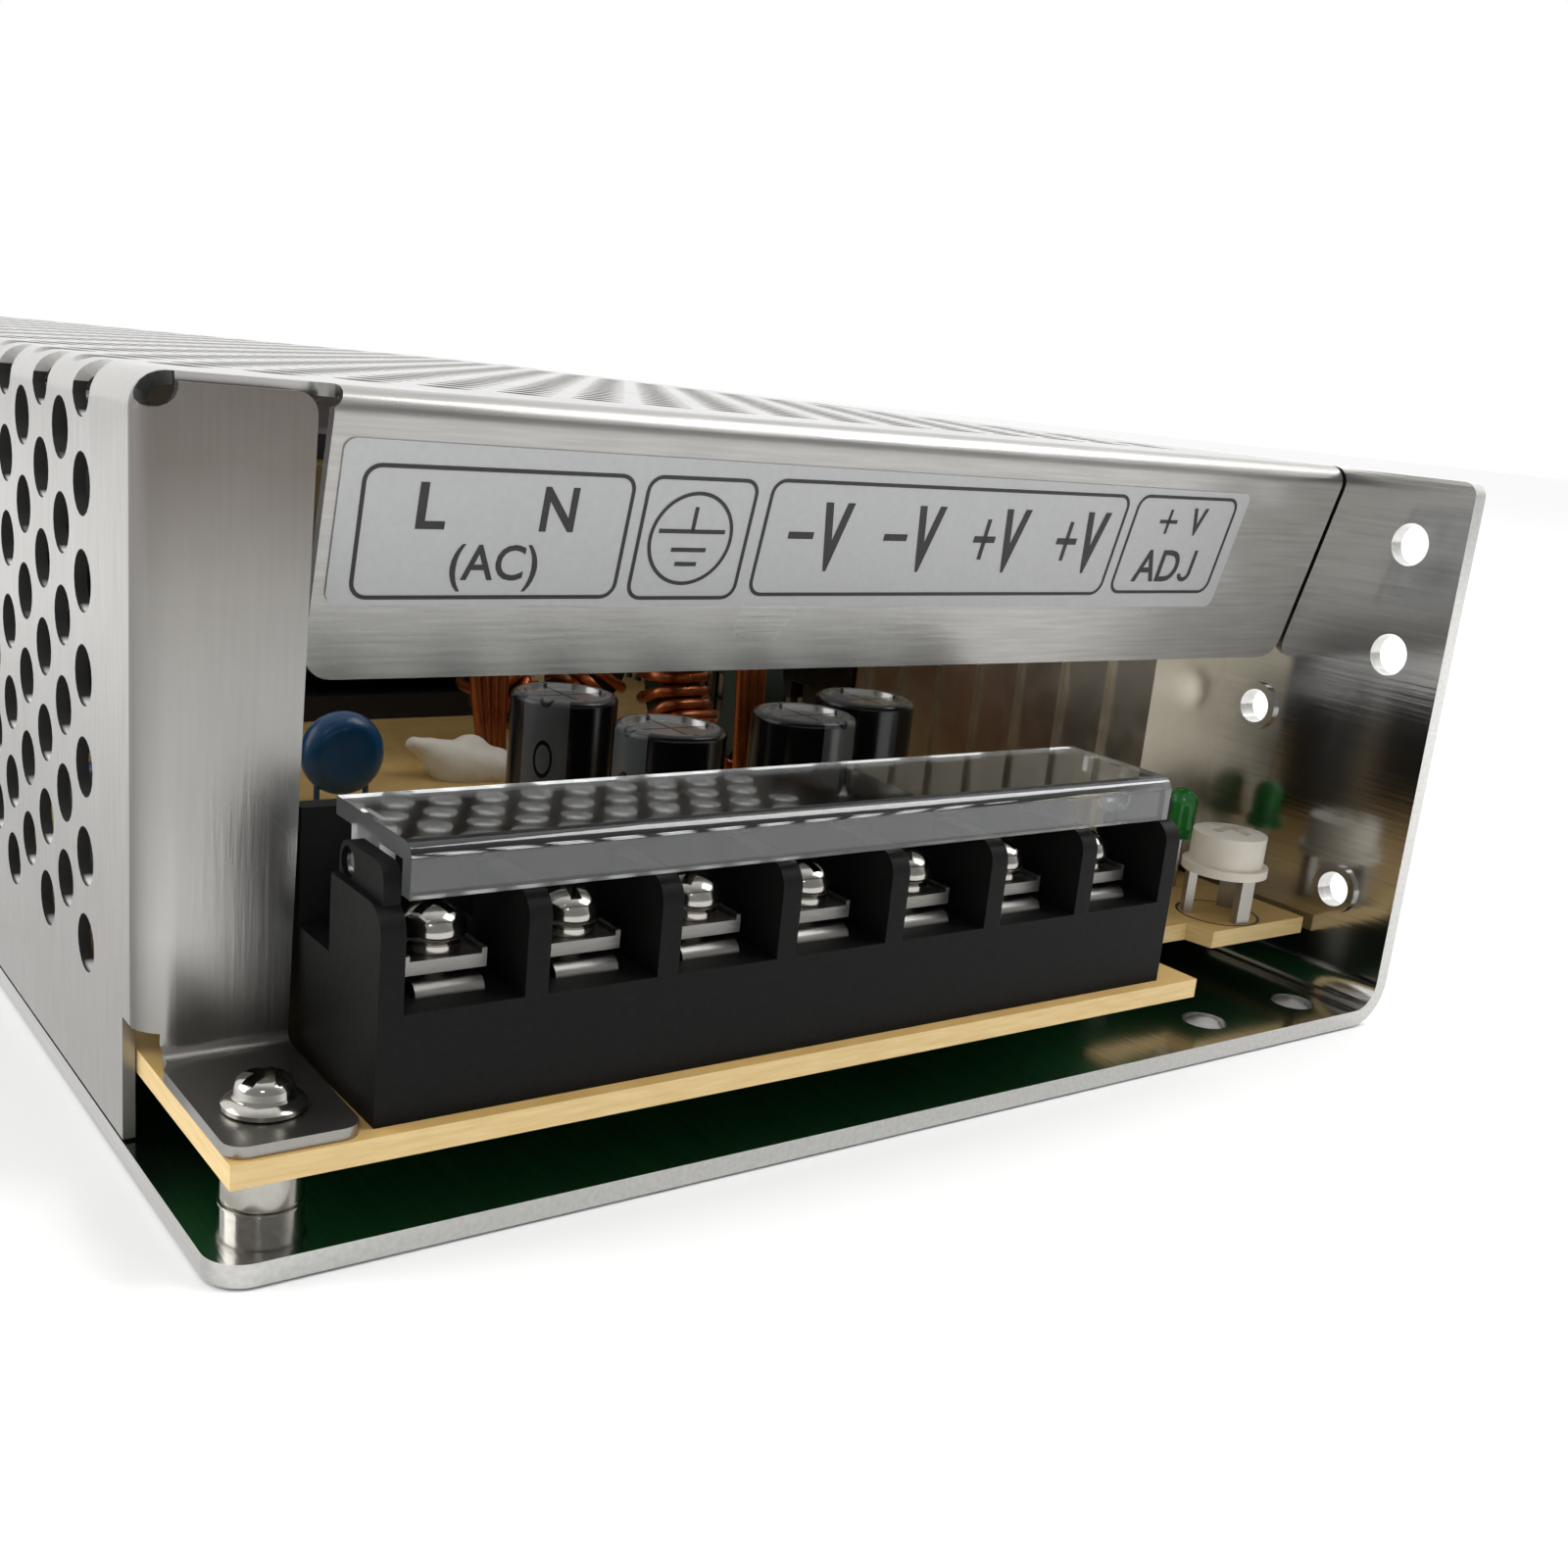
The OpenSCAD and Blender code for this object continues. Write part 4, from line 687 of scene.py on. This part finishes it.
front_line = FLANGE_Y + BEND
lip_line = 15.0
right_line = TOP_RIGHT - BEND
wall_low = wall_zero + SKIRT
notch_high = wall_zero + 10.2
notch_back = front_line + 1.6
flange_high = wall_zero + 49.45
foot_line = wall_zero + 9.4
foot_bent = foot_line - TAB_WRAP
foot_end = foot_bent - 12.8
flange_start = front_line - WRAP
neck_left, neck_right = flange_start + 0.8, flange_start - 7.1
tab_left, tab_right = flange_start + 1.3, flange_start - 6.8
rear_bent = rear_line + WRAP
rear_low = rear_bent + (CASE_H - BEND - SKIRT)
lip_end = lip_line - LIP_WRAP - LIP_LENGTH
tab_end = right_line + WRAP + (CASE_H - BEND - SCREW_TAB_LOW)


def arc(x, y, radius, start, end, steps):
    """Points along an arc of the blank's outline, angles in degrees."""
    angles = [math.radians(start + (end - start) * i / steps) for i in range(steps + 1)]
    return [(x + radius * math.cos(a), y + radius * math.sin(a)) for a in angles]


outline = [(wall_low, CASE_L), (wall_low, notch_back), (notch_high, notch_back), (notch_high, neck_left)]
outline += [(foot_bent, neck_left), (foot_bent - 0.9, tab_left)]
outline += arc(foot_end + CORNER_R, tab_left - CORNER_R, CORNER_R, 90, 180, 6)
outline += arc(foot_end + CORNER_R, tab_right + CORNER_R, CORNER_R, 180, 270, 6)
outline += [(foot_bent, neck_right), (foot_line, neck_right)]
outline += arc(flange_high - CORNER_R, flange_start - FLANGE_W + CORNER_R, CORNER_R, 270, 360, 6)
outline += arc(NOTCH_X, NOTCH_Y, NOTCH_R, 280, 11, 13)
outline += arc(RELIEF_X, RELIEF_Y, RELIEF_R, 134, -71, 10)
outline += arc(LIP_LEFT + LIP_CORNER_R, lip_end + LIP_CORNER_R, LIP_CORNER_R, 180, 270, 6)
outline += arc(LIP_RIGHT - LIP_CORNER_R, lip_end + LIP_CORNER_R, LIP_CORNER_R, 270, 360, 6)
outline += [(LIP_RIGHT, lip_line), (TOP_RIGHT, lip_line)]
for middle in SCREW_TABS:
    near, far = middle - SCREW_TAB_HALF, middle + SCREW_TAB_HALF
    outline += [(TOP_RIGHT, near - TAB_RELIEF), (right_line, near - TAB_RELIEF), (right_line, near)]
    outline += [(tab_end, near), (tab_end, far)]
    outline += [(right_line, far), (right_line, far + TAB_RELIEF), (TOP_RIGHT, far + TAB_RELIEF)]
outline += [(TOP_RIGHT, rear_low), (REAR_LEFT, rear_low), (REAR_LEFT, rear_bent + CORNER_R)]
outline += [(BEND, rear_bent), (BEND, rear_line), (BEND - WRAP, rear_line), (BEND - WRAP - CORNER_R, CASE_L)]

blank = bmesh.new()
hole_wall = blank.verts.layers.float.new("hole_wall")
corners = [blank.verts.new((x, y, CASE_H)) for x, y in outline]
for corner in corners:
    corner[hole_wall] = float(math.hypot(corner.co.x - NOTCH_X, corner.co.y - NOTCH_Y) < NOTCH_R + 0.01)
for first, second in zip(corners, corners[1:] + corners[:1]):
    blank.edges.new((first, second))

# The punch: round holes, every second column half a step higher, over side wall, top and rear wall.
PUNCH_R, FOOT_HOLE_R, TAB_HOLE_R = 2.0, 1.6, 1.65
COLUMN, ROW = 5.03, 6.02
FIRST_COLUMN, FIRST_ROW = 26.4, 12.3
ROWS, LONG_COLUMNS = 23, 33
REAR_COLUMNS, REAR_FIRST_ROW = (37, 38, 39, 40, 41), 8
punched = [(foot_bent - 8.1, flange_start - 2.4, FOOT_HOLE_R)]
punched += [(right_line + WRAP + 4.8, y, TAB_HOLE_R) for y in SCREW_TABS]
for column in (*range(LONG_COLUMNS), *REAR_COLUMNS):
    y = FIRST_COLUMN + COLUMN * column
    low = wall_zero + FIRST_ROW + (column % 2) * ROW / 2
    rows = range(ROWS) if column < LONG_COLUMNS else range(REAR_FIRST_ROW, ROWS)
    punched += [(low + ROW * row, y, PUNCH_R) for row in rows]
for x, y, radius in punched:
    spot = Matrix.Translation((x, y, CASE_H))
    for corner in bmesh.ops.create_circle(blank, segments=20, radius=radius, matrix=spot)["verts"]:
        corner[hole_wall] = 1.0
bmesh.ops.triangle_fill(blank, use_beauty=True, edges=blank.edges[:], normal=(0, 0, 1))


def score(position, along, count, wrap):
    """Cuts the blank across a bend, so that it folds in small steps; wrap is the bend's flat width."""
    for step in range(count + 1):
        spot = [0.0, 0.0, 0.0]
        normal = [0.0, 0.0, 0.0]
        spot[along] = position + wrap * step / count
        normal[along] = 1.0
        everything = blank.verts[:] + blank.edges[:] + blank.faces[:]
        bmesh.ops.bisect_plane(blank, geom=everything, dist=1e-5, plane_co=spot, plane_no=normal)


score(BEND, 0, 6, -WRAP)
score(right_line, 0, 6, WRAP)
score(foot_line, 0, 5, -TAB_WRAP)
score(front_line, 1, 6, -WRAP)
score(lip_line, 1, 7, -LIP_WRAP)
score(rear_line, 1, 6, WRAP)


def fold(group, origin, out, inward, radius, middle, angle, straight=False):
    """Turns a flap about its bend line; out leaves the line in the sheet, inward is its new side."""
    centre = origin + inward * radius
    for corner in group:
        offset = corner.co - origin
        reach = offset.dot(out)
        depth = offset.dot(inward)
        level = offset - out * reach - inward * depth
        bent = angle if straight else min(max(reach, 0.0) / middle, angle)
        rest = reach - middle * bent
        run = out * math.cos(bent) + inward * math.sin(bent)
        swing = out * math.sin(bent) - inward * math.cos(bent)
        corner.co = centre + level + swing * (radius - depth) + run * rest


flat_place = {corner: corner.co.copy() for corner in blank.verts}
flat_sheet = blank.loops.layers.uv.new("flat_sheet")
for face in blank.faces:
    for corner in face.loops:
        corner[flat_sheet].uv = (corner.vert.co.x * MM, corner.vert.co.y * MM)
UP = Vector((0, 0, 1))
LEFT = Vector((-1, 0, 0))
FRONT = Vector((0, -1, 0))
SQUARE = math.pi / 2
SLACK = 1e-4
front_flap = [v for v, p in flat_place.items() if p.x < flange_high + 0.1 and p.y < front_line - 0.5]
foot_flap = [v for v in front_flap if flat_place[v].x < foot_line - SLACK]
left_flap = [v for v, p in flat_place.items() if p.x < BEND - SLACK and v not in set(front_flap)]
lip_flap = [v for v, p in flat_place.items() if p.x > LIP_LEFT - 0.1 and p.y < lip_line - SLACK]
rear_flap = [v for v, p in flat_place.items() if p.x > REAR_LEFT - 0.1 and p.y > rear_line + SLACK]
right_flaps = [
    v for v, p in flat_place.items()
    if p.x > right_line + SLACK and min(abs(p.y - middle) for middle in SCREW_TABS) < SCREW_TAB_HALF + 0.1
]
fold(foot_flap, Vector((foot_line, 0, CASE_H)), LEFT, UP, TAB_BEND, TAB_MIDDLE, SQUARE)
flange_only = [v for v in front_flap if v not in set(foot_flap)]
fold(flange_only, Vector((0, front_line, CASE_H)), FRONT, -UP, BEND, MIDDLE, SQUARE)
fold(foot_flap, Vector((0, front_line, CASE_H)), FRONT, -UP, BEND, MIDDLE, SQUARE, straight=True)
fold(left_flap, Vector((BEND, 0, CASE_H)), LEFT, -UP, BEND, MIDDLE, SQUARE)
fold(front_flap, Vector((BEND, 0, CASE_H)), LEFT, -UP, BEND, MIDDLE, SQUARE, straight=True)
fold(lip_flap, Vector((0, lip_line, CASE_H)), FRONT, -UP, LIP_BEND, LIP_MIDDLE, LIP_TURN)
fold(rear_flap, Vector((0, rear_line, CASE_H)), -FRONT, -UP, BEND, MIDDLE, SQUARE)
fold(right_flaps, Vector((right_line, 0, CASE_H)), -LEFT, -UP, BEND, MIDDLE, SQUARE)
blank.normal_update()
cut_wall = blank.faces.layers.float.new("cut_wall")
sheet_faces = set(blank.faces)
rims = [e for e in blank.edges if e.is_boundary and min(v[hole_wall] for v in e.verts) > 0.5]
bmesh.ops.solidify(blank, geom=blank.faces[:], thickness=SHEET)
for edge in rims:
    for face in edge.link_faces:
        face[cut_wall] = 0.0 if face in sheet_faces else 1.0
cover = new_piece("cover_sheet", blank)
smooth(cover.data)
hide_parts("cover")

# Galvanised sheet: satin grey metal with fine rolling streaks and broad smudges that change its shine.
galvanised, tree, shader, place = new_material("satin_galvanised_steel")
sheet = add_node(tree, "UVMap", uv_map="flat_sheet", out="UV")
streaking = add_node(tree, "Mapping", {"Vector": sheet, "Scale": (1 / (7 * MM), 1 / (0.35 * MM), 1.0)})
streaks = add_node(tree, "TexNoise", {"Vector": streaking, "Scale": 1.0, "Detail": 4.0})
smudge = add_node(tree, "TexNoise", {"Vector": place, "Scale": 1 / (16.7 * MM), "Detail": 3.0})
blur = add_node(tree, "MapRange", {"Value": smudge, "To Min": 0.22, "To Max": 0.36})
tone = {"Factor": streaks, 6: linear("#8C8A86"), 7: linear("#ADACA9")}
tone = add_node(tree, "Mix", tone, data_type="RGBA", out=2)
sheared = add_node(tree, "Attribute", attribute_name="cut_wall", out="Fac")
rough = add_node(tree, "Mix", {"Factor": sheared, 2: blur, 3: 0.6})
tree.links.new(rough, shader.inputs["Roughness"])
# On the front flange the colour is painted light and shade, patchy with the smudges: painted shade and
# painted reflections of dark surroundings, darker at the foot and brown-grey higher up, a dark line of
# painted shade under the top edge and a painted highlight on the top edge itself.
axes = add_node(tree, "SeparateXYZ", {"Vector": place}).node.outputs
left = add_node(tree, "Math", {0: axes["X"], 1: at(LIP_LEFT - 0.3, 0, 0).x}, operation="LESS_THAN")
ahead = add_node(tree, "Math", {0: axes["Y"], 1: at(0, front_line, 0).y}, operation="LESS_THAN")
flange_zone = add_node(tree, "Math", {0: left, 1: ahead}, operation="MULTIPLY")
level = add_node(tree, "MapRange", {"Value": axes["Z"], "From Max": CASE_H * MM})
# The ramp's tones are painted shade, painted reflections and, at the top edge, a painted highlight.
flange_light_ramp = add_node(tree, "ValToRGB", {"Fac": level})
lowest_tone, highest_tone = flange_light_ramp.node.color_ramp.elements
lowest_tone.position, highest_tone.position = 0.2, 0.993
lowest_tone.color, highest_tone.color = linear("#8F8C87"), linear("#F0EFEC")
for height, colour in (
    (0.33, "#ABAAA7"), (0.5, "#999793"), (0.75, "#8D8A86"), (0.9, "#6C645E"), (0.989, "#655C56"),
):
    flange_light_ramp.node.color_ramp.elements.new(height).color = linear(colour)
uneven = add_node(tree, "MapRange", {"Value": smudge, "To Min": 0.55, "To Max": 1.0})
flange_painted_light = add_node(tree, "Math", {0: flange_zone, 1: uneven}, operation="MULTIPLY")
flange_painted_light = add_node(tree, "Mix", {"Factor": flange_painted_light, 6: tone, 7: flange_light_ramp}, data_type="RGBA", out=2)
# A painted shade darkens the bends behind the front flange, from nothing at the flange to full at the back
# of the bend.
bend_start, bend_end = FLANGE_Y + 0.05, FLANGE_Y + 2.0
rounding = {"Value": axes["Y"], "From Min": at(0, bend_start, 0).y, "From Max": at(0, bend_end, 0).y}
rounding = add_node(tree, "MapRange", rounding)
painted_bend_shade = add_node(tree, "Math", {0: flange_zone, 1: rounding}, operation="MULTIPLY")
bend_shaded_tone = {"Factor": painted_bend_shade, 6: flange_painted_light, 7: linear("#62605D")}
bend_shaded_tone = add_node(tree, "Mix", bend_shaded_tone, data_type="RGBA", out=2)
# The sheared walls of the holes are painted with light and shade: pale in the top as painted light, dark in
# the sides and at the front as painted shade, with painted highlights where their bottoms face upward,
# varying from hole to hole.
facing = add_node(tree, "TexCoord", out="Normal")
upward = add_node(tree, "SeparateXYZ", {"Vector": facing}, out="Z")
upward_highlight = add_node(tree, "MapRange", {"Value": upward, "From Min": 0.8, "From Max": 0.94})
patches = add_node(tree, "TexNoise", {"Vector": place, "Scale": 1 / (9 * MM), "Detail": 0.0})
patches = add_node(tree, "MapRange", {"Value": patches, "From Min": 0.3, "From Max": 0.5})
inside = {"Value": axes["X"], "From Min": at(0.1, 0, 0).x, "From Max": at(0.3, 0, 0).x}
inside = add_node(tree, "MapRange", inside)
patches = add_node(tree, "Math", {0: inside, 1: patches}, operation="MULTIPLY")
painted_highlight = add_node(tree, "Math", {0: upward_highlight, 1: patches}, operation="MULTIPLY")
dull = add_node(tree, "MapRange", {"Value": painted_highlight, "To Min": 0.45, "To Max": 0.0})
bare = add_node(tree, "Mix", {"Factor": sheared, 2: 1.0, 3: dull})
tree.links.new(bare, shader.inputs["Metallic"])
# Painted shade on the side walls of the holes, with a painted highlight where they face upward; the top
# holes keep a pale painted light.
hole_shade_and_highlight = {"Factor": painted_highlight, 6: linear("#2C2B2A"), 7: linear("#FBFAF8")}
hole_shade_and_highlight = add_node(tree, "Mix", hole_shade_and_highlight, data_type="RGBA", out=2)
below = add_node(tree, "Math", {0: axes["Z"], 1: (CASE_H - 1.5) * MM}, operation="LESS_THAN")
on_sides = add_node(tree, "Math", {0: below, 1: flange_zone}, operation="MAXIMUM")
hole_tone = {"Factor": on_sides, 6: linear("#BDBCB9"), 7: hole_shade_and_highlight}
hole_tone = add_node(tree, "Mix", hole_tone, data_type="RGBA", out=2)
edged = add_node(tree, "Mix", {"Factor": sheared, 6: bend_shaded_tone, 7: hole_tone}, data_type="RGBA", out=2)
tree.links.new(edged, shader.inputs["Base Color"])
bump = add_node(tree, "Bump", {"Height": streaks, "Strength": 0.06, "Distance": 0.2 * MM})
tree.links.new(bump, shader.inputs["Normal"])
cover.data.materials.append(galvanised)

# Label: a silver-grey polyester film, stuck on the lip and screen-printed in black. Framed marks stand
# over their terminals: mains, earth, outputs and the adjustment.
# Silver film: a soft grey with hardly any mirror in it, and an even fine grain.
film, tree, shader, place = new_material("silver_grey_film", Roughness=0.45, Metallic=0.15)
two_tones(tree, shader, place, 0.556, 2.0, "#A9AAAA", "#B3B4B4")
paint(film, "terminal_label")

lip_fall = LIP_BEND * math.sin(LIP_LEAN)
lip_corner = Vector((0.0, lip_line - LIP_BEND * math.cos(LIP_LEAN), CASE_H - LIP_BEND - lip_fall))
on_lip = Matrix.Translation(lip_corner) @ Matrix.Rotation(math.pi / 2 + LIP_LEAN, 4, "X")
PRINT_LIFT = 0.17
print_shape = bmesh.new()


def add_print(shape):
    """Joins a flat shape to the print, lifted just off the film."""
    bmesh.ops.translate(shape, verts=shape.verts, vec=(0, 0, PRINT_LIFT))
    flat_mesh = as_mesh("mark", shape)
    print_shape.from_mesh(flat_mesh)
    bpy.data.meshes.remove(flat_mesh)


def frame_line(x0, x1, low, high, radius, width):
    """A thin rounded rectangle, printed as a line."""
    shape = bmesh.new()
    edge = [shape.verts.new(p) for p in ((x0, low, 0), (x1, low, 0), (x1, high, 0), (x0, high, 0))]
    shape.faces.new(edge)
    bmesh.ops.bevel(
        shape, geom=shape.verts[:], offset=radius, segments=6, profile=0.5, affect="VERTICES", material=-1
    )
    inner = bmesh.ops.inset_region(
        shape, faces=shape.faces[:], thickness=width, use_even_offset=True, use_boundary=True
    )
    rim = set(inner["faces"])
    bmesh.ops.delete(shape, geom=[f for f in shape.faces if f not in rim], context="FACES")
    add_print(shape)


def letters(words, x, y, tall, wide, weight):
    """Printed letters centred on a point of the lip, to a height and width in millimetres."""
    font = bpy.data.curves.new("letters", "FONT")
    font.body = words
    font.align_x = "CENTER"
    font.align_y = "CENTER"
    font.offset = weight
    font.resolution_u = 4
    shape = shape_of(font)
    heights = [v.co.y for v in shape.verts]
    widths = [v.co.x for v in shape.verts]
    size = (wide / (max(widths) - min(widths)), tall / (max(heights) - min(heights)), 1)
    middle = Vector(((max(widths) + min(widths)) / 2, (max(heights) + min(heights)) / 2, 0))
    bmesh.ops.translate(shape, verts=shape.verts, vec=-middle)
    bmesh.ops.scale(shape, verts=shape.verts, vec=size)
    bmesh.ops.translate(shape, verts=shape.verts, vec=(x, y, 0))
    add_print(shape)


def bar(x, y, wide, tall):
    """A printed bar, centred on a point of the lip."""
    shape = bmesh.new()
    bmesh.ops.create_grid(shape, x_segments=1, y_segments=1, size=0.5)
    bmesh.ops.scale(shape, verts=shape.verts, vec=(wide, tall, 1))
    bmesh.ops.translate(shape, verts=shape.verts, vec=(x, y, 0))
    add_print(shape)


FRAME_R, FRAME_LINE = 1.2, 0.29
for x0, x1, low, high in (
    (13.2, 32.55, -11.35, -2.35), (33.4, 42.65, -11.45, -2.3), (43.7, 80.75, -11.2, -2.15),
    (81.7, 94.5, -11.05, -2.05),
):
    frame_line(x0, x1, low, high, FRAME_R, FRAME_LINE)
letters("L", 18.05, -5.0, 3.1, 2.0, 0.02)
letters("N", 27.05, -5.0, 3.1, 2.55, 0.022)
letters("(AC)", 23.0, -9.15, 3.3, 6.3, 0.012)
MINUS_X, PLUS_X, SIGN_Y = (47.3, 56.3), (65.5, 74.7), -6.4
for x in (50.25, 59.3, 68.4, 77.6):
    letters("V", x, -6.5, 5.4, 2.75, 0.04)
for x in MINUS_X + PLUS_X:
    bar(x, SIGN_Y, 2.3, 0.55)
for x in PLUS_X:
    bar(x, SIGN_Y, 0.42, 3.4)
ADJUST_X, ADJUST_Y, ADJUST_SIGN, ADJUST_LINE = 86.25, -4.4, 2.2, 0.34
bar(ADJUST_X, ADJUST_Y, ADJUST_SIGN, ADJUST_LINE)
bar(ADJUST_X, ADJUST_Y, ADJUST_LINE, ADJUST_SIGN)
letters("V", 89.95, -4.35, 2.5, 1.9, 0.03)
WORD_Y, WORD_TALL = -8.45, 2.95
letters("AD", 86.8, WORD_Y, WORD_TALL, 5.5, 0.014)
HOOK_X, HOOK_R, STROKE = 90.6, 0.85, 0.42
bar(HOOK_X + HOOK_R - STROKE / 2, WORD_Y + HOOK_R / 2, STROKE, WORD_TALL - HOOK_R)
hook = bmesh.new()
span = [hook.verts.new((reach, 0, 0)) for reach in (HOOK_R - STROKE, HOOK_R)]
stroke = span + [hook.edges.new(span)]
bmesh.ops.spin(hook, geom=stroke, cent=(0, 0, 0), axis=(0, 0, -1), angle=math.radians(170), steps=14)
bmesh.ops.translate(hook, verts=hook.verts, vec=(HOOK_X, WORD_Y - WORD_TALL / 2 + HOOK_R, 0))
add_print(hook)
EARTH_X, EARTH_Y, EARTH_R, EARTH_RING, EARTH_LINE = 37.8, -6.85, 3.2, 0.28, 0.32
add_print(ring_mark(EARTH_X, EARTH_Y, 0, EARTH_R, EARTH_RING))
for rise, width in ((0.55, 5.5), (-0.82, 2.9), (-1.88, 1.8)):
    bar(EARTH_X, EARTH_Y + rise, width, EARTH_LINE)
bar(EARTH_X, EARTH_Y + 1.45, EARTH_LINE, 1.8)
# The print lies half a degree askew on the film.
askew = Matrix.Translation((EARTH_X, EARTH_Y, 0)) @ Matrix.Rotation(math.radians(0.5), 4, "Z")
askew = askew @ Matrix.Translation((-EARTH_X, -EARTH_Y, 0))
bmesh.ops.transform(print_shape, matrix=askew, verts=print_shape.verts)
bmesh.ops.recalc_face_normals(print_shape, faces=print_shape.faces[:])
bmesh.ops.transform(print_shape, matrix=on_lip, verts=print_shape.verts)
marks = new_piece("label_print", print_shape)
marks.data.materials.append(ink)
